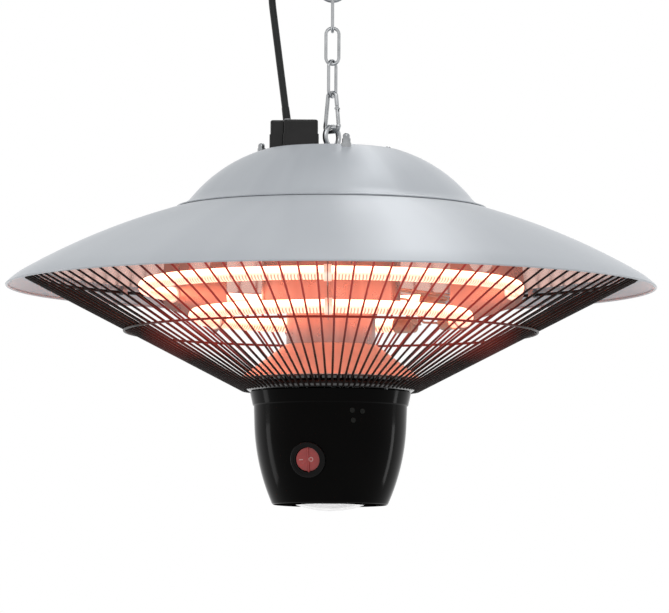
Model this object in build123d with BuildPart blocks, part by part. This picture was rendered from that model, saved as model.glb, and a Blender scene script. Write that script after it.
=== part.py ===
from build123d import *
import os
from math import atan, atan2, cos, degrees, hypot, radians, sin, sqrt, tan

# Hanging infrared patio heater, in millimetres, +Z up.
# The origin is the middle of the ceiling plate's top face, on the chain's axis.
# Heights named *_h are counted from the plane of the shade's rim.

os.makedirs("parts", exist_ok=True)

# Clearances
touch_gap = 0.3
sheet_gap = 0.1
bore_gap = 0.2

# Shade and dome, spun from sheet
rim_radius = 300.0
shade_sheet = 1.0
shade_opening_radius = 56.0
shade_flange_radius = 112.0
shade_flange_h = 74.8
shade_shoulder = (154.0, 67.9)
shade_middle_share = 0.512
shade_middle_h = 43.3
shade_skirt_inset = 15.0
shade_skirt_h = 11.2
rim_edge_h = -0.5
rim_bead_radius = 1.3
wall_steps = 12
dome_sheet = 1.0
dome_top_h = 126.6
dome_flat_radius = 52.0
dome_brow_radius = 64.0
dome_brow_drop = 1.5
dome_middle_radius = 99.3
dome_middle_share = 0.627
dome_waist = (130.0, 80.3)
dome_lip = (143.0, 72.7)

# Chain, carabiner and eye bolt
link_wire = 3.0
link_length = 36.6
link_width = 15.0
link_turns = (90.0, 0.0, 56.0)
carabiner_wire = 3.8
carabiner_length = 40.0
carabiner_width = 21.0
carabiner_top_width = 12.8
carabiner_turn = -40.0
gate_wire = 3.6
gate_pivot_rise = 21.2
gate_nose_rise = 7.0
gate_nose_gap = 0.5
gate_fork = 1.8
gate_top_space = 3.0
tang_half_width = 1.6
rivet_diameter = 1.5
rivet_head_thickness = 0.5
eye_wire = 5.0
eye_width = 24.0
eye_turn = 50.0
eye_collar_diameter = 14.0
eye_collar_thickness = 2.5
eye_thread = 6.0
eye_shank_below_plate = 8.0

# Fasteners
stud_thread = 4.0
stud_from_drum = 5.0
stud_count = 3
stud_start_angle = 41.0
stud_nut_width = 7.0
stud_nut_height = 3.2
stud_below_nut = 1.5
cap_nut_height = 9.0
cap_nut_hex_height = 4.0
cap_crown_radius = 3.2
washer_diameter = 9.0
washer_thickness = 1.0
spacer_diameter = 8.0
eye_nut_width = 10.0
eye_nut_height = 5.0

# Ceiling fittings
plate_diameter = 160.0
plate_thickness = 4.0
plate_edge_round = 1.5
plate_screw_circle = 130.0
plate_screw_count = 4
plate_screw_hole = 5.0
plate_screw_head = 9.5
hook_wire = 5.0
hook_width = 30.0
hook_neck_radius = 5.0
hook_shank_length = 12.0
hook_tip_angle = 150.0
hook_nut_width = 8.0
hook_nut_height = 4.0
gland_nut_width = 15.0
gland_nut_height = 6.0
gland_dome_height = 9.0
gland_thread = 10.0

# Mains cord
cord_diameter = 6.6
cord_exit = (-41.5, 0.0)
cord_ceiling = (-57.3, 0.0)
cord_corner_depth = 34.0
cord_bend_share = 0.45
cord_foot_below_cover = 6.0

# Junction box on the dome
box_centre = (-28.7, 0.0)
box_width = 33.2
box_depth = 36.0
box_neck_length = 12.3
box_neck_depth = 22.0
box_base_height = 13.0
box_cover_height = 13.4
box_wall = 1.8
box_step = 0.8
box_corner = 3.0
box_screw_diameter = 3.0
box_screw_head = 5.4
box_boss_diameter = 6.4
box_boss_inset = 2.6
terminal_size = (10.0, 18.0, 8.0)
terminal_place = (9.4, 0.0)
terminal_screw_radius = 1.6
terminal_screw_depth = 3.0
grommet_flange = 12.0
grommet_flange_thickness = 1.4
grommet_flange_taper = 20.0
grommet_lip = 0.8
grommet_proud = 0.4

# Carrier, drum and column
carrier_radius = 90.0
carrier_thickness = 2.0
reflector_sheet = 0.6
reflector_flange_radius = 108.0
reflector_edge_inset = 38.0
reflector_edge_h = 14.0
drum_radius = 64.0
drum_sheet = 1.0
drum_flange_width = 14.0
drum_bottom_h = -17.0
column_radius = 41.0
column_sheet = 1.0
cone_sheet = 0.8
cone_top = (42.5, -54.5)
cone_foot = (84.5, -85.6)
tie_rod_diameter = 8.0
tie_nut_width = 13.0
tie_nut_height = 6.5
tie_rod_beyond_nut = 2.0
harness_diameter = 6.0
harness_x = -30.0
harness_hole = 9.0
harness_into_box = 4.0

# Lamps
outer_lamp_radius = 171.6
outer_lamp_h = -1.4
inner_lamp_radius = 125.0
inner_lamp_h = -27.8
lamp_tube_radius = 6.2
lamp_tube_wall = 1.2
filament_radius = 1.8
lamp_gap_angle = 42.0
lamp_gap_half = 14.0
lamp_cap_radius = 7.4
lamp_cap_length = 20.0
lamp_cap_web = 1.0
lamp_cap_clearance = 0.5
bracket_angles = (-91.0, 150.0, 12.0)
bracket_sheet = 1.0
bracket_margin = 5.0
bracket_window_radius = 12.0
bracket_window_at = (142.0, 28.0)
clip_wall = 1.2
clip_length = 7.0
lead_diameter = 2.0
lead_bush_diameter = 7.0
lead_bush_neck = 4.6
lead_bush_length = 8.0
lead_spread = 3.6
lead_straight = 8.0
lead_bend = 3.0
lead_rise_radius = 90.0
outer_lead_h = 2.0
inner_lead_h = -7.0
lamp_terminal_size = (16.0, 44.0, 14.0)
lamp_terminal_x = 34.0
lamp_terminal_screw_radius = 2.0
lamp_terminal_screw_depth = 4.0
lead_pitch = 4.0

# Wire grille, a cone below the rim plane
grille_wire = 2.0
grille_wire_count = 100
grille_phase = 0.9
grille_start = (81.0, -96.2)
grille_end_inset = 17.0
grille_end_h = 8.4
ring_wire = 3.0
middle_ring_wire = 2.2
outer_ring_inset = 20.5
middle_ring_at = 189.5
inner_ring_at = 83.05
weld_gap = 0.05
rim_clip_count = 4
rim_clip_start_angle = 45.9
rim_clip_width = 6.0
rim_clip_half_reach = 4.0
rim_clip_under_ring = 1.2

# Control pot
plate_floor_h = -97.0
plate_sheet = 1.6
plate_flat_radius = 75.0
plate_rim_foot = (76.8, -96.0)
plate_rim_top = (84.9, -87.4)
pot_top = (74.1, -97.7)
pot_collar_foot = (71.6, -109.8)
pot_step = (70.6, -110.8)
pot_straight_end = (70.0, -128.0)
pot_heel = (53.6, -200.0)
pot_base_edge = (51.6, -201.4)
pot_wall = 2.0
pot_boss_diameter = 8.4
pot_boss_length = 16.0
pot_screw_count = 3
pot_screw_circle_radius = 65.5
pot_screw_start_angle = 80.0
pot_screw_diameter = 4.0
pot_screw_length = 12.0
pot_screw_head = 7.0
pot_screw_head_height = 2.4
lens_radius = 31.5
lens_bottom_h = -207.0
lens_wall = 2.0
lens_flange_radius = 35.6
lens_flange_thickness = 1.5
retainer_thickness = 2.0
retainer_inner_radius = 28.0
retainer_outer_radius = 40.0
led_board_radius = 33.0
board_thickness = 1.6
led_size = (5.0, 5.0, 1.0)
led_count = 6
led_circle_radius = 17.0
control_board_size = (72.0, 74.0)
control_board_h = -122.0
standoff_diameter = 6.0
standoff_spacing = (62.0, 64.0)
relay_size = (20.0, 16.0, 16.0)
transformer_size = (24.0, 22.0, 18.0)
capacitor_diameter = 12.0
capacitor_height = 15.0
connector_size = (10.0, 14.0, 8.0)
relay_place = (16.0, -20.0)
transformer_place = (16.0, 19.0)
capacitor_place = (-10.0, 24.0)

# Round rocker switch in the pot's wall
switch_angle = -108.0
switch_h = -162.6
switch_surface_radius = 65.0
switch_barrel_proud = 1.9
switch_tilt = 11.0
bezel_radius = 16.5
bezel_below = 3.2
bezel_above = 2.4
bezel_round = 1.2
switch_barrel_radius = 13.4
switch_barrel_depth = 20.0
rocker_radius = 10.8
rocker_pocket_radius = 11.5
rocker_pocket_depth = 7.0
rocker_rise = 1.8
rocker_dip = 0.7
rocker_depth = 4.5
rocker_pivot_depth = 0.5
rocker_tilt = 7.0
rocker_pin_diameter = 2.0
rocker_pin_length = 25.0
tab_size = (0.8, 4.8, 7.0)
tab_spacing = 6.0

# Indicator lights in the pot's wall: angle and height of each
indicator_radius = 2.3
indicator_length = 5.0
indicator_proud = 0.3
indicator_places = ((-73.7, -117.9), (-65.7, -118.6), (-72.9, -127.0))


def save(builder, name):
    builder.part.label = name
    export_step(builder.part, f"parts/{name}.step")


def turned(radius, angle):
    return radius * cos(radians(angle)), radius * sin(radians(angle))


# Heights of the hanging parts, from the dome up to the ceiling
eye_radius = (eye_width - eye_wire) / 2
eye_centre_h = dome_top_h + eye_width / 2
carabiner_bottom_h = eye_centre_h + eye_radius - eye_wire / 2 - touch_gap - carabiner_wire / 2
carabiner_top_h = carabiner_bottom_h + carabiner_length - carabiner_wire
link_reach = link_length - link_wire
link_1_bottom_h = carabiner_top_h - (carabiner_wire + link_wire) / 2 - touch_gap
link_2_bottom_h = link_1_bottom_h + link_reach - link_wire - touch_gap
link_3_bottom_h = link_2_bottom_h + link_reach - link_wire - touch_gap
hook_bottom_h = link_3_bottom_h + link_reach - (link_wire + hook_wire) / 2 - touch_gap
hook_radius = (hook_width - hook_wire) / 2
hook_centre_h = hook_bottom_h + hook_radius
hook_neck_rise = sqrt((hook_radius + hook_neck_radius) ** 2 - hook_neck_radius**2)
hook_shank_h = hook_centre_h + hook_neck_rise
ceiling_h = hook_shank_h + hook_shank_length
rim_z = -ceiling_h


def level(height):
    return rim_z + height


def at_level(point):
    return point[0], level(point[1])


def on_wall(points, radius, inset=0.0):
    (x1, z1), (x2, z2), (x3, z3) = points
    twice_area = 2 * (x1 * (z2 - z3) + x2 * (z3 - z1) + x3 * (z1 - z2))
    s1, s2, s3 = x1**2 + z1**2, x2**2 + z2**2, x3**2 + z3**2
    centre_x = (s1 * (z2 - z3) + s2 * (z3 - z1) + s3 * (z1 - z2)) / twice_area
    centre_z = (s1 * (x3 - x2) + s2 * (x1 - x3) + s3 * (x2 - x1)) / twice_area
    reach = hypot(x1 - centre_x, z1 - centre_z) - inset
    return centre_z + sqrt(reach**2 - (radius - centre_x) ** 2)


def spun_steps(arc):
    Polyline(*[arc @ (step / wall_steps) for step in range(wall_steps + 1)])
    return arc


def spun_wall(points):
    return spun_steps(ThreePointArc(*[at_level(point) for point in points], mode=Mode.PRIVATE))


def at_studs():
    return PolarLocations(stud_circle_radius, stud_count, start_angle=stud_start_angle)


dome_brow = (dome_brow_radius, dome_top_h - dome_brow_drop)
dome_middle_h = dome_waist[1] + dome_middle_share * (dome_brow[1] - dome_waist[1])
dome_wall = (dome_brow, (dome_middle_radius, dome_middle_h), dome_waist)
shade_skirt = (rim_radius - shade_skirt_inset, shade_skirt_h)
shade_middle_radius = shade_shoulder[0] + shade_middle_share * (shade_skirt[0] - shade_shoulder[0])
shade_wall = (shade_shoulder, (shade_middle_radius, shade_middle_h), shade_skirt)
reflector_edge = (rim_radius - reflector_edge_inset, reflector_edge_h)
grille_end = (rim_radius - grille_end_inset, grille_end_h)
outer_ring_at = rim_radius - outer_ring_inset
drum_flange_radius = drum_radius + drum_flange_width
stud_circle_radius = drum_radius + stud_from_drum
carrier_top_h = shade_flange_h + carrier_thickness
reflector_flange_h = shade_flange_h - shade_sheet
drum_flange_h = reflector_flange_h - reflector_sheet
drum_floor_h = drum_bottom_h + drum_sheet

# Ceiling plate with countersunk screw holes
with BuildPart() as ceiling_plate:
    with BuildSketch(Plane.XY.offset(-plate_thickness)):
        Circle(plate_diameter / 2)
        Circle((hook_wire + bore_gap) / 2, mode=Mode.SUBTRACT)
        with Locations(cord_ceiling):
            Circle((gland_thread + bore_gap) / 2, mode=Mode.SUBTRACT)
    extrude(amount=plate_thickness)
    lower_edge = ceiling_plate.faces().sort_by(Axis.Z)[0].outer_wire().edges()
    fillet(lower_edge, radius=plate_edge_round)
    with Locations(Plane(origin=(0, 0, -plate_thickness), z_dir=(0, 0, -1))):
        with PolarLocations(plate_screw_circle / 2, plate_screw_count, start_angle=45):
            CounterSinkHole(plate_screw_hole / 2, plate_screw_head / 2, plate_thickness)
save(ceiling_plate, "ceiling_plate")

# Open hook: a threaded shank, a neck and three quarters of a ring
neck_end_angle = degrees(atan2(hook_neck_rise, hook_neck_radius))
with BuildPart() as ceiling_hook:
    with BuildLine(Plane.XZ) as hook_line:
        shank = Line((0, -sheet_gap), (0, level(hook_shank_h)))
        CenterArc(
            (hook_neck_radius, level(hook_shank_h)), hook_neck_radius, 180, neck_end_angle
        )
        CenterArc(
            (0, level(hook_centre_h)),
            hook_radius,
            neck_end_angle,
            hook_tip_angle - neck_end_angle - 360,
        )
    with BuildSketch(Plane(origin=shank @ 0, z_dir=shank % 0)):
        Circle(hook_wire / 2)
    sweep(path=hook_line.line)
    tip = ceiling_hook.faces().filter_by(GeomType.PLANE).sort_by(Axis.Z)[0]
    fillet(tip.edges(), radius=hook_wire / 5)
save(ceiling_hook, "ceiling_hook")

with BuildPart() as hook_lock_nut:
    with BuildSketch(Plane.XY.offset(-plate_thickness - hook_nut_height)):
        RegularPolygon(hook_nut_width / 2, 6, major_radius=False)
        Circle((hook_wire + bore_gap) / 2, mode=Mode.SUBTRACT)
    extrude(amount=hook_nut_height)
save(hook_lock_nut, "hook_lock_nut")

# Cable gland under the ceiling plate
gland_bottom_z = -plate_thickness - gland_nut_height - gland_dome_height
with BuildPart() as ceiling_gland:
    with BuildSketch(Plane.XY.offset(-plate_thickness - gland_nut_height)):
        with Locations(cord_ceiling):
            RegularPolygon(gland_nut_width / 2, 6, major_radius=False)
    extrude(amount=gland_nut_height)
    with BuildSketch(Plane.XY.offset(-plate_thickness)):
        with Locations(cord_ceiling):
            Circle(gland_thread / 2)
    extrude(amount=plate_thickness - sheet_gap)
    with BuildSketch(Plane.XY.offset(-plate_thickness - gland_nut_height)):
        with Locations(cord_ceiling):
            Circle(gland_nut_width / 2 - 0.4)
    extrude(amount=-gland_dome_height, taper=12)
    with BuildSketch(Plane.XY.offset(gland_bottom_z)):
        with Locations(cord_ceiling):
            Circle((cord_diameter + bore_gap) / 2)
    extrude(amount=-gland_bottom_z, mode=Mode.SUBTRACT)
save(ceiling_gland, "ceiling_gland")


# Chain links, from the hook down to the carabiner
def chain_link(bottom_h, turn):
    bend = (link_width - link_wire) / 2
    low = level(bottom_h)
    high = low + link_reach
    x_dir = (cos(radians(turn)), sin(radians(turn)), 0)
    face = Plane(origin=(0, 0, 0), x_dir=x_dir, z_dir=(x_dir[1], -x_dir[0], 0))
    with BuildPart() as link:
        with BuildLine(face) as loop:
            right = Line((bend, low + bend), (bend, high - bend))
            ThreePointArc((bend, high - bend), (0, high), (-bend, high - bend))
            Line((-bend, high - bend), (-bend, low + bend))
            ThreePointArc((-bend, low + bend), (0, low), (bend, low + bend))
        with BuildSketch(Plane(origin=right @ 0, z_dir=right % 0)):
            Circle(link_wire / 2)
        sweep(path=loop.line)
    return link


link_bottoms = (link_3_bottom_h, link_2_bottom_h, link_1_bottom_h)
for number, bottom_h, turn in zip((3, 2, 1), link_bottoms, link_turns):
    save(chain_link(bottom_h, turn), f"chain_link_{number}")

# Carabiner: one bent wire, open on its right side where the gate stands
carabiner_x = (cos(radians(carabiner_turn)), sin(radians(carabiner_turn)), 0)
carabiner_face = Plane(
    origin=(0, 0, level(carabiner_bottom_h)),
    x_dir=carabiner_x,
    z_dir=(carabiner_x[1], -carabiner_x[0], 0),
)
carabiner_reach = carabiner_length - carabiner_wire
foot_half = (carabiner_width - carabiner_wire) / 2
head_half = (carabiner_top_width - carabiner_wire) / 2
side_lean = (foot_half - head_half) / carabiner_reach


def side_x(rise):
    return foot_half - side_lean * rise


body_end_rise = gate_pivot_rise + gate_top_space
gate_axis_x = side_x(gate_pivot_rise)
nose_radius = carabiner_wire / 2 + 0.5
with BuildPart() as carabiner_body:
    with BuildLine(carabiner_face) as carabiner_line:
        FilletPolyline(
            (side_x(body_end_rise), body_end_rise),
            (head_half, carabiner_reach),
            (-head_half, carabiner_reach),
            (-foot_half, 0),
            (foot_half, 0),
            (side_x(gate_nose_rise), gate_nose_rise),
            radius=[head_half * 0.82, head_half * 0.82, 5.0, 5.0],
        )
    with BuildSketch(
        Plane(origin=carabiner_line.line @ 0, z_dir=carabiner_line.line % 0)
    ):
        Circle(carabiner_wire / 2)
    sweep(path=carabiner_line.line)
    with BuildSketch(carabiner_face):
        with BuildLine():
            Polyline(
                (side_x(body_end_rise) - tang_half_width, body_end_rise + 1),
                (side_x(body_end_rise) + tang_half_width, body_end_rise + 1),
                (gate_axis_x + tang_half_width, gate_pivot_rise),
                (gate_axis_x - tang_half_width, gate_pivot_rise),
                close=True,
            )
        make_face()
        with Locations((gate_axis_x, gate_pivot_rise)):
            Circle(tang_half_width)
            Circle((rivet_diameter + bore_gap) / 2, mode=Mode.SUBTRACT)
    extrude(amount=(gate_fork - 2 * bore_gap) / 2, both=True)
    with Locations(carabiner_face.location * Location((side_x(gate_nose_rise), gate_nose_rise - 2, 0))):
        Sphere(nose_radius)
    with BuildSketch(carabiner_face):
        with Locations((side_x(gate_nose_rise), gate_nose_rise + nose_radius)):
            Rectangle(4 * nose_radius, 2 * nose_radius)
    extrude(amount=2 * nose_radius, both=True, mode=Mode.SUBTRACT)
save(carabiner_body, "carabiner_body")

# Gate: a bar with a forked top on the rivet
gate_low = gate_nose_rise + gate_nose_gap
gate_high = gate_pivot_rise + gate_wire / 2
with BuildPart() as carabiner_gate:
    with BuildLine(carabiner_face) as gate_line:
        bar = Line((side_x(gate_low), gate_low), (side_x(gate_high), gate_high))
    with BuildSketch(Plane(origin=bar @ 0, z_dir=bar % 0)):
        Circle(gate_wire / 2)
    sweep(path=gate_line.line)
    with BuildSketch(carabiner_face):
        with Locations((gate_axis_x, gate_pivot_rise)):
            Rectangle(2 * gate_wire, 4 * tang_half_width)
    extrude(amount=gate_fork / 2, both=True, mode=Mode.SUBTRACT)
    with BuildSketch(carabiner_face):
        with Locations((gate_axis_x, gate_pivot_rise)):
            Circle((rivet_diameter + bore_gap) / 2)
    extrude(amount=gate_wire, both=True, mode=Mode.SUBTRACT)
save(carabiner_gate, "carabiner_gate")

rivet_half = gate_wire / 2 + bore_gap
with BuildPart() as gate_rivet:
    with BuildSketch(carabiner_face):
        with Locations((gate_axis_x, gate_pivot_rise)):
            Circle(rivet_diameter / 2)
    extrude(amount=rivet_half, both=True)
    for side in (-1, 1):
        with BuildSketch(carabiner_face.offset(side * rivet_half)):
            with Locations((gate_axis_x, gate_pivot_rise)):
                Circle(rivet_diameter / 2 + rivet_head_thickness)
        extrude(amount=side * rivet_head_thickness)
save(gate_rivet, "gate_rivet")

# Eye bolt through the dome and the carrier plate
eye_normal = (-sin(radians(eye_turn)), cos(radians(eye_turn)), 0)
with BuildPart() as eye_bolt:
    with Locations(Plane(origin=(0, 0, level(eye_centre_h)), z_dir=eye_normal)):
        Torus(eye_radius, eye_wire / 2)
    with BuildSketch(Plane.XY.offset(level(dome_top_h))):
        Circle(eye_collar_diameter / 2)
    extrude(amount=eye_collar_thickness)
    with BuildSketch(Plane.XY.offset(level(dome_top_h))):
        Circle(eye_thread / 2)
    extrude(amount=level(shade_flange_h) - level(dome_top_h) - eye_shank_below_plate)
save(eye_bolt, "eye_bolt")

with BuildPart() as eye_nuts:
    for base_h in (carrier_top_h, shade_flange_h - eye_nut_height):
        with BuildSketch(Plane.XY.offset(level(base_h))):
            RegularPolygon(eye_nut_width / 2, 6, major_radius=False)
            Circle((eye_thread + bore_gap) / 2, mode=Mode.SUBTRACT)
        extrude(amount=eye_nut_height)
save(eye_nuts, "eye_nuts")


# Spun dome with holes for the eye bolt, the studs and the cable
def dome_outline():
    Line((0, level(dome_top_h)), (dome_flat_radius, level(dome_top_h)))
    TangentArc((dome_flat_radius, level(dome_top_h)), at_level(dome_brow), tangent=(1, 0))
    wall = spun_wall(dome_wall)
    TangentArc(at_level(dome_waist), at_level(dome_lip), tangent=wall % 1)


with BuildPart() as top_dome:
    with BuildSketch(Plane.XZ):
        with BuildLine() as dome_line:
            dome_outline()
            offset(dome_line.line, amount=dome_sheet, side=Side.RIGHT)
        make_face()
    revolve(axis=Axis.Z)
    with BuildSketch(Plane.XY.offset(level(dome_lip[1]))):
        Circle((eye_thread + bore_gap) / 2)
        with at_studs():
            Circle((stud_thread + bore_gap) / 2)
        with Locations((harness_x, 0)):
            Circle(harness_hole / 2)
    extrude(amount=dome_top_h - dome_lip[1] + dome_sheet, mode=Mode.SUBTRACT)
save(top_dome, "top_dome")

# Studs through the drum's flange, the carrier plate and the dome, and what is on them
stud_nut_h = drum_flange_h - drum_sheet - stud_nut_height
stud_foot_h = stud_nut_h - stud_below_nut
spacer_top_h = on_wall(dome_wall, stud_circle_radius + spacer_diameter / 2, dome_sheet) - sheet_gap
spacer_foot_h = carrier_top_h + stud_nut_height
washer_top_h = on_wall(dome_wall, stud_circle_radius - washer_diameter / 2) + washer_thickness

with BuildPart() as mounting_studs:
    with BuildSketch(Plane.XY.offset(level(stud_foot_h))):
        with at_studs():
            Circle(stud_thread / 2)
    extrude(amount=washer_top_h + cap_nut_hex_height - stud_foot_h)
save(mounting_studs, "mounting_studs")

with BuildPart() as stud_nuts:
    for base_h in (stud_nut_h, carrier_top_h):
        with BuildSketch(Plane.XY.offset(level(base_h))):
            with at_studs():
                RegularPolygon(stud_nut_width / 2, 6, major_radius=False)
                Circle((stud_thread + bore_gap) / 2, mode=Mode.SUBTRACT)
        extrude(amount=stud_nut_height)
save(stud_nuts, "stud_nuts")

with BuildPart() as dome_spacers:
    with BuildSketch(Plane.XY.offset(level(spacer_foot_h))):
        with at_studs():
            Circle(spacer_diameter / 2)
            Circle((stud_thread + bore_gap) / 2, mode=Mode.SUBTRACT)
    extrude(amount=spacer_top_h - spacer_foot_h)
save(dome_spacers, "dome_spacers")

# Washers cut to the dome's slope, so that the cap nuts stand level
with BuildPart() as cap_washers:
    with BuildSketch(Plane.XY.offset(level(dome_lip[1]))):
        with at_studs():
            Circle(washer_diameter / 2)
            Circle((stud_thread + bore_gap) / 2, mode=Mode.SUBTRACT)
    extrude(amount=washer_top_h - dome_lip[1])
    with BuildSketch(Plane.XZ):
        with BuildLine():
            dome_outline()
            Polyline(
                at_level(dome_lip),
                (dome_lip[0], level(0)),
                (0, level(0)),
                (0, level(dome_top_h)),
            )
        make_face()
    revolve(axis=Axis.Z, mode=Mode.SUBTRACT)
save(cap_washers, "cap_washers")

with BuildPart() as cap_nuts:
    with BuildSketch(Plane.XY.offset(level(washer_top_h))):
        with at_studs():
            RegularPolygon(stud_nut_width / 2, 6, major_radius=False)
    extrude(amount=cap_nut_hex_height)
    with Locations((0, 0, level(washer_top_h + cap_nut_hex_height))):
        with at_studs():
            Cylinder(
                cap_crown_radius,
                cap_nut_height - cap_nut_hex_height,
                align=(Align.CENTER, Align.CENTER, Align.MIN),
            )
    crowns = cap_nuts.faces().sort_by(Axis.Z)[-stud_count:].edges()
    fillet(crowns, radius=cap_crown_radius * 0.85)
    with BuildSketch(Plane.XY.offset(level(washer_top_h))):
        with at_studs():
            Circle((stud_thread + bore_gap) / 2)
    extrude(amount=cap_nut_hex_height + sheet_gap, mode=Mode.SUBTRACT)
save(cap_nuts, "cap_nuts")

# Junction box on the dome: a block with a narrower neck on its left
def box_plane(height):
    return Plane(origin=(*box_centre, level(height)), z_dir=(0, 0, 1))


def box_outline(height, inset, corner):
    neck_reach = box_width / 2 + box_neck_length - inset
    with BuildSketch(box_plane(height)) as outline:
        Rectangle(box_width - 2 * inset, box_depth - 2 * inset)
        with Locations((-neck_reach / 2, 0)):
            Rectangle(neck_reach, box_neck_depth - 2 * inset)
        fillet(outline.vertices(), radius=corner)
    return outline.sketch


box_base_h = dome_top_h + sheet_gap
box_split_h = box_base_h + box_base_height
box_top_h = box_split_h + box_cover_height
box_plane_floor = box_plane(box_base_h)
harness_in_box = box_plane_floor.to_local_coords(Vector(harness_x, 0, level(box_base_h)))
cord_in_box = box_plane_floor.to_local_coords(Vector(*cord_exit, level(box_base_h)))
boss_offset_x = box_width / 2 - box_wall - box_boss_inset
boss_offset_y = box_depth / 2 - box_wall - box_boss_inset
box_boss_places = ((boss_offset_x, boss_offset_y), (-boss_offset_x, -boss_offset_y))

with BuildPart() as junction_box_base:
    extrude(box_outline(box_base_h, 0, box_corner), amount=box_base_height)
    base_hollow = box_outline(box_base_h + box_wall, box_wall, box_corner - box_wall)
    extrude(base_hollow, amount=box_base_height, mode=Mode.SUBTRACT)
    with BuildSketch(box_plane(box_base_h + box_wall)):
        with Locations(*box_boss_places):
            Circle(box_boss_diameter / 2)
    extrude(amount=box_base_height - box_wall)
    with BuildSketch(box_plane(box_base_h)):
        with Locations((harness_in_box.X, harness_in_box.Y)):
            Circle(harness_hole / 2)
    extrude(amount=box_wall, mode=Mode.SUBTRACT)
    with BuildSketch(box_plane(box_split_h)):
        with Locations(*box_boss_places):
            Circle((box_screw_diameter + bore_gap) / 2)
    extrude(amount=-(box_base_height - box_wall), mode=Mode.SUBTRACT)
save(junction_box_base, "junction_box_base")

with BuildPart() as junction_box_cover:
    extrude(box_outline(box_split_h, box_step, box_corner), amount=box_cover_height)
    fillet(junction_box_cover.faces().sort_by(Axis.Z)[-1].edges(), radius=box_corner * 0.6)
    cover_hollow = box_outline(box_split_h, box_step + box_wall, box_corner - box_wall)
    extrude(cover_hollow, amount=box_cover_height - box_wall, mode=Mode.SUBTRACT)
    with BuildSketch(box_plane(box_split_h + sheet_gap)):
        with Locations(*box_boss_places):
            Circle(box_boss_diameter / 2)
    extrude(amount=box_cover_height - box_wall)
    with BuildSketch(box_plane(box_split_h)):
        with Locations(*box_boss_places):
            Circle((box_screw_diameter + bore_gap) / 2)
        with Locations((cord_in_box.X, cord_in_box.Y)):
            Circle(cord_diameter / 2 + grommet_lip + bore_gap)
    extrude(amount=box_cover_height, mode=Mode.SUBTRACT)
    with BuildSketch(box_plane(box_top_h - box_wall / 2)):
        with Locations(*box_boss_places):
            Circle((box_screw_head + bore_gap) / 2)
    extrude(amount=box_wall, mode=Mode.SUBTRACT)
save(junction_box_cover, "junction_box_cover")

with BuildPart() as junction_box_screws:
    with BuildSketch(box_plane(box_base_h + box_wall + 1)):
        with Locations(*box_boss_places):
            Circle(box_screw_diameter / 2)
    extrude(amount=box_top_h - box_base_h - box_wall - 1)
    with BuildSketch(box_plane(box_top_h - box_wall / 2)):
        with Locations(*box_boss_places):
            Circle(box_screw_head / 2)
    extrude(amount=box_wall / 2 + 0.6)
save(junction_box_screws, "junction_box_screws")

with BuildPart() as terminal_block:
    with BuildSketch(box_plane(box_base_h + box_wall + sheet_gap)):
        with Locations(terminal_place):
            Rectangle(terminal_size[0], terminal_size[1])
    extrude(amount=terminal_size[2])
    with BuildSketch(box_plane(box_base_h + box_wall + sheet_gap + terminal_size[2])):
        with Locations(terminal_place):
            with GridLocations(terminal_size[0] / 2, terminal_size[1] / 3, 2, 3):
                Circle(terminal_screw_radius)
    extrude(amount=-terminal_screw_depth, mode=Mode.SUBTRACT)
save(terminal_block, "terminal_block")

# Cord: out of the box's top, taut, then straight up through the ceiling gland
cord_lean = (cord_ceiling[0] - cord_exit[0]) / (-cord_corner_depth - level(box_top_h))
cord_foot_h = box_top_h - box_wall - cord_foot_below_cover
cord_points = (
    (cord_exit[0] + cord_lean * (cord_foot_h - box_top_h), cord_exit[1], level(cord_foot_h)),
    (cord_ceiling[0], cord_ceiling[1], -cord_corner_depth),
    (cord_ceiling[0], cord_ceiling[1], -sheet_gap),
)
cord_bend = cord_bend_share * cord_corner_depth / tan(atan(abs(cord_lean)) / 2)
with BuildPart() as power_cord:
    with BuildLine() as cord_line:
        FilletPolyline(*cord_points, radius=cord_bend)
    with BuildSketch(Plane(origin=cord_line.line @ 0, z_dir=cord_line.line % 0)):
        Circle(cord_diameter / 2)
    sweep(path=cord_line.line)
print("cord bend radius", round(cord_bend, 1))
save(power_cord, "power_cord")

# Grommet: its flange stands under the cover, its neck comes up through it
grommet_face = Plane(origin=(*cord_exit, level(box_top_h - box_wall) - sheet_gap), z_dir=(0, 0, 1))
with BuildPart() as cord_grommet:
    with BuildSketch(grommet_face):
        Circle(grommet_flange / 2)
    extrude(amount=-grommet_flange_thickness, taper=grommet_flange_taper)
    with BuildSketch(grommet_face):
        Circle(cord_diameter / 2 + grommet_lip)
    extrude(amount=box_wall + grommet_proud)
    with BuildSketch(Plane(origin=(*cord_exit, level(box_top_h)), z_dir=(cord_lean, 0, 1))):
        Circle((cord_diameter + bore_gap) / 2)
    extrude(amount=2 * cord_diameter, both=True, mode=Mode.SUBTRACT)
save(cord_grommet, "cord_grommet")

# Carrier plate on the shade's flange
with BuildPart() as carrier_plate:
    with BuildSketch(Plane.XY.offset(level(shade_flange_h))):
        Circle(carrier_radius)
        Circle((eye_thread + bore_gap) / 2, mode=Mode.SUBTRACT)
        with at_studs():
            Circle((stud_thread + bore_gap) / 2, mode=Mode.SUBTRACT)
        with Locations((harness_x, 0)):
            Circle(harness_hole / 2, mode=Mode.SUBTRACT)
    extrude(amount=carrier_thickness)
save(carrier_plate, "carrier_plate")

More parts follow.
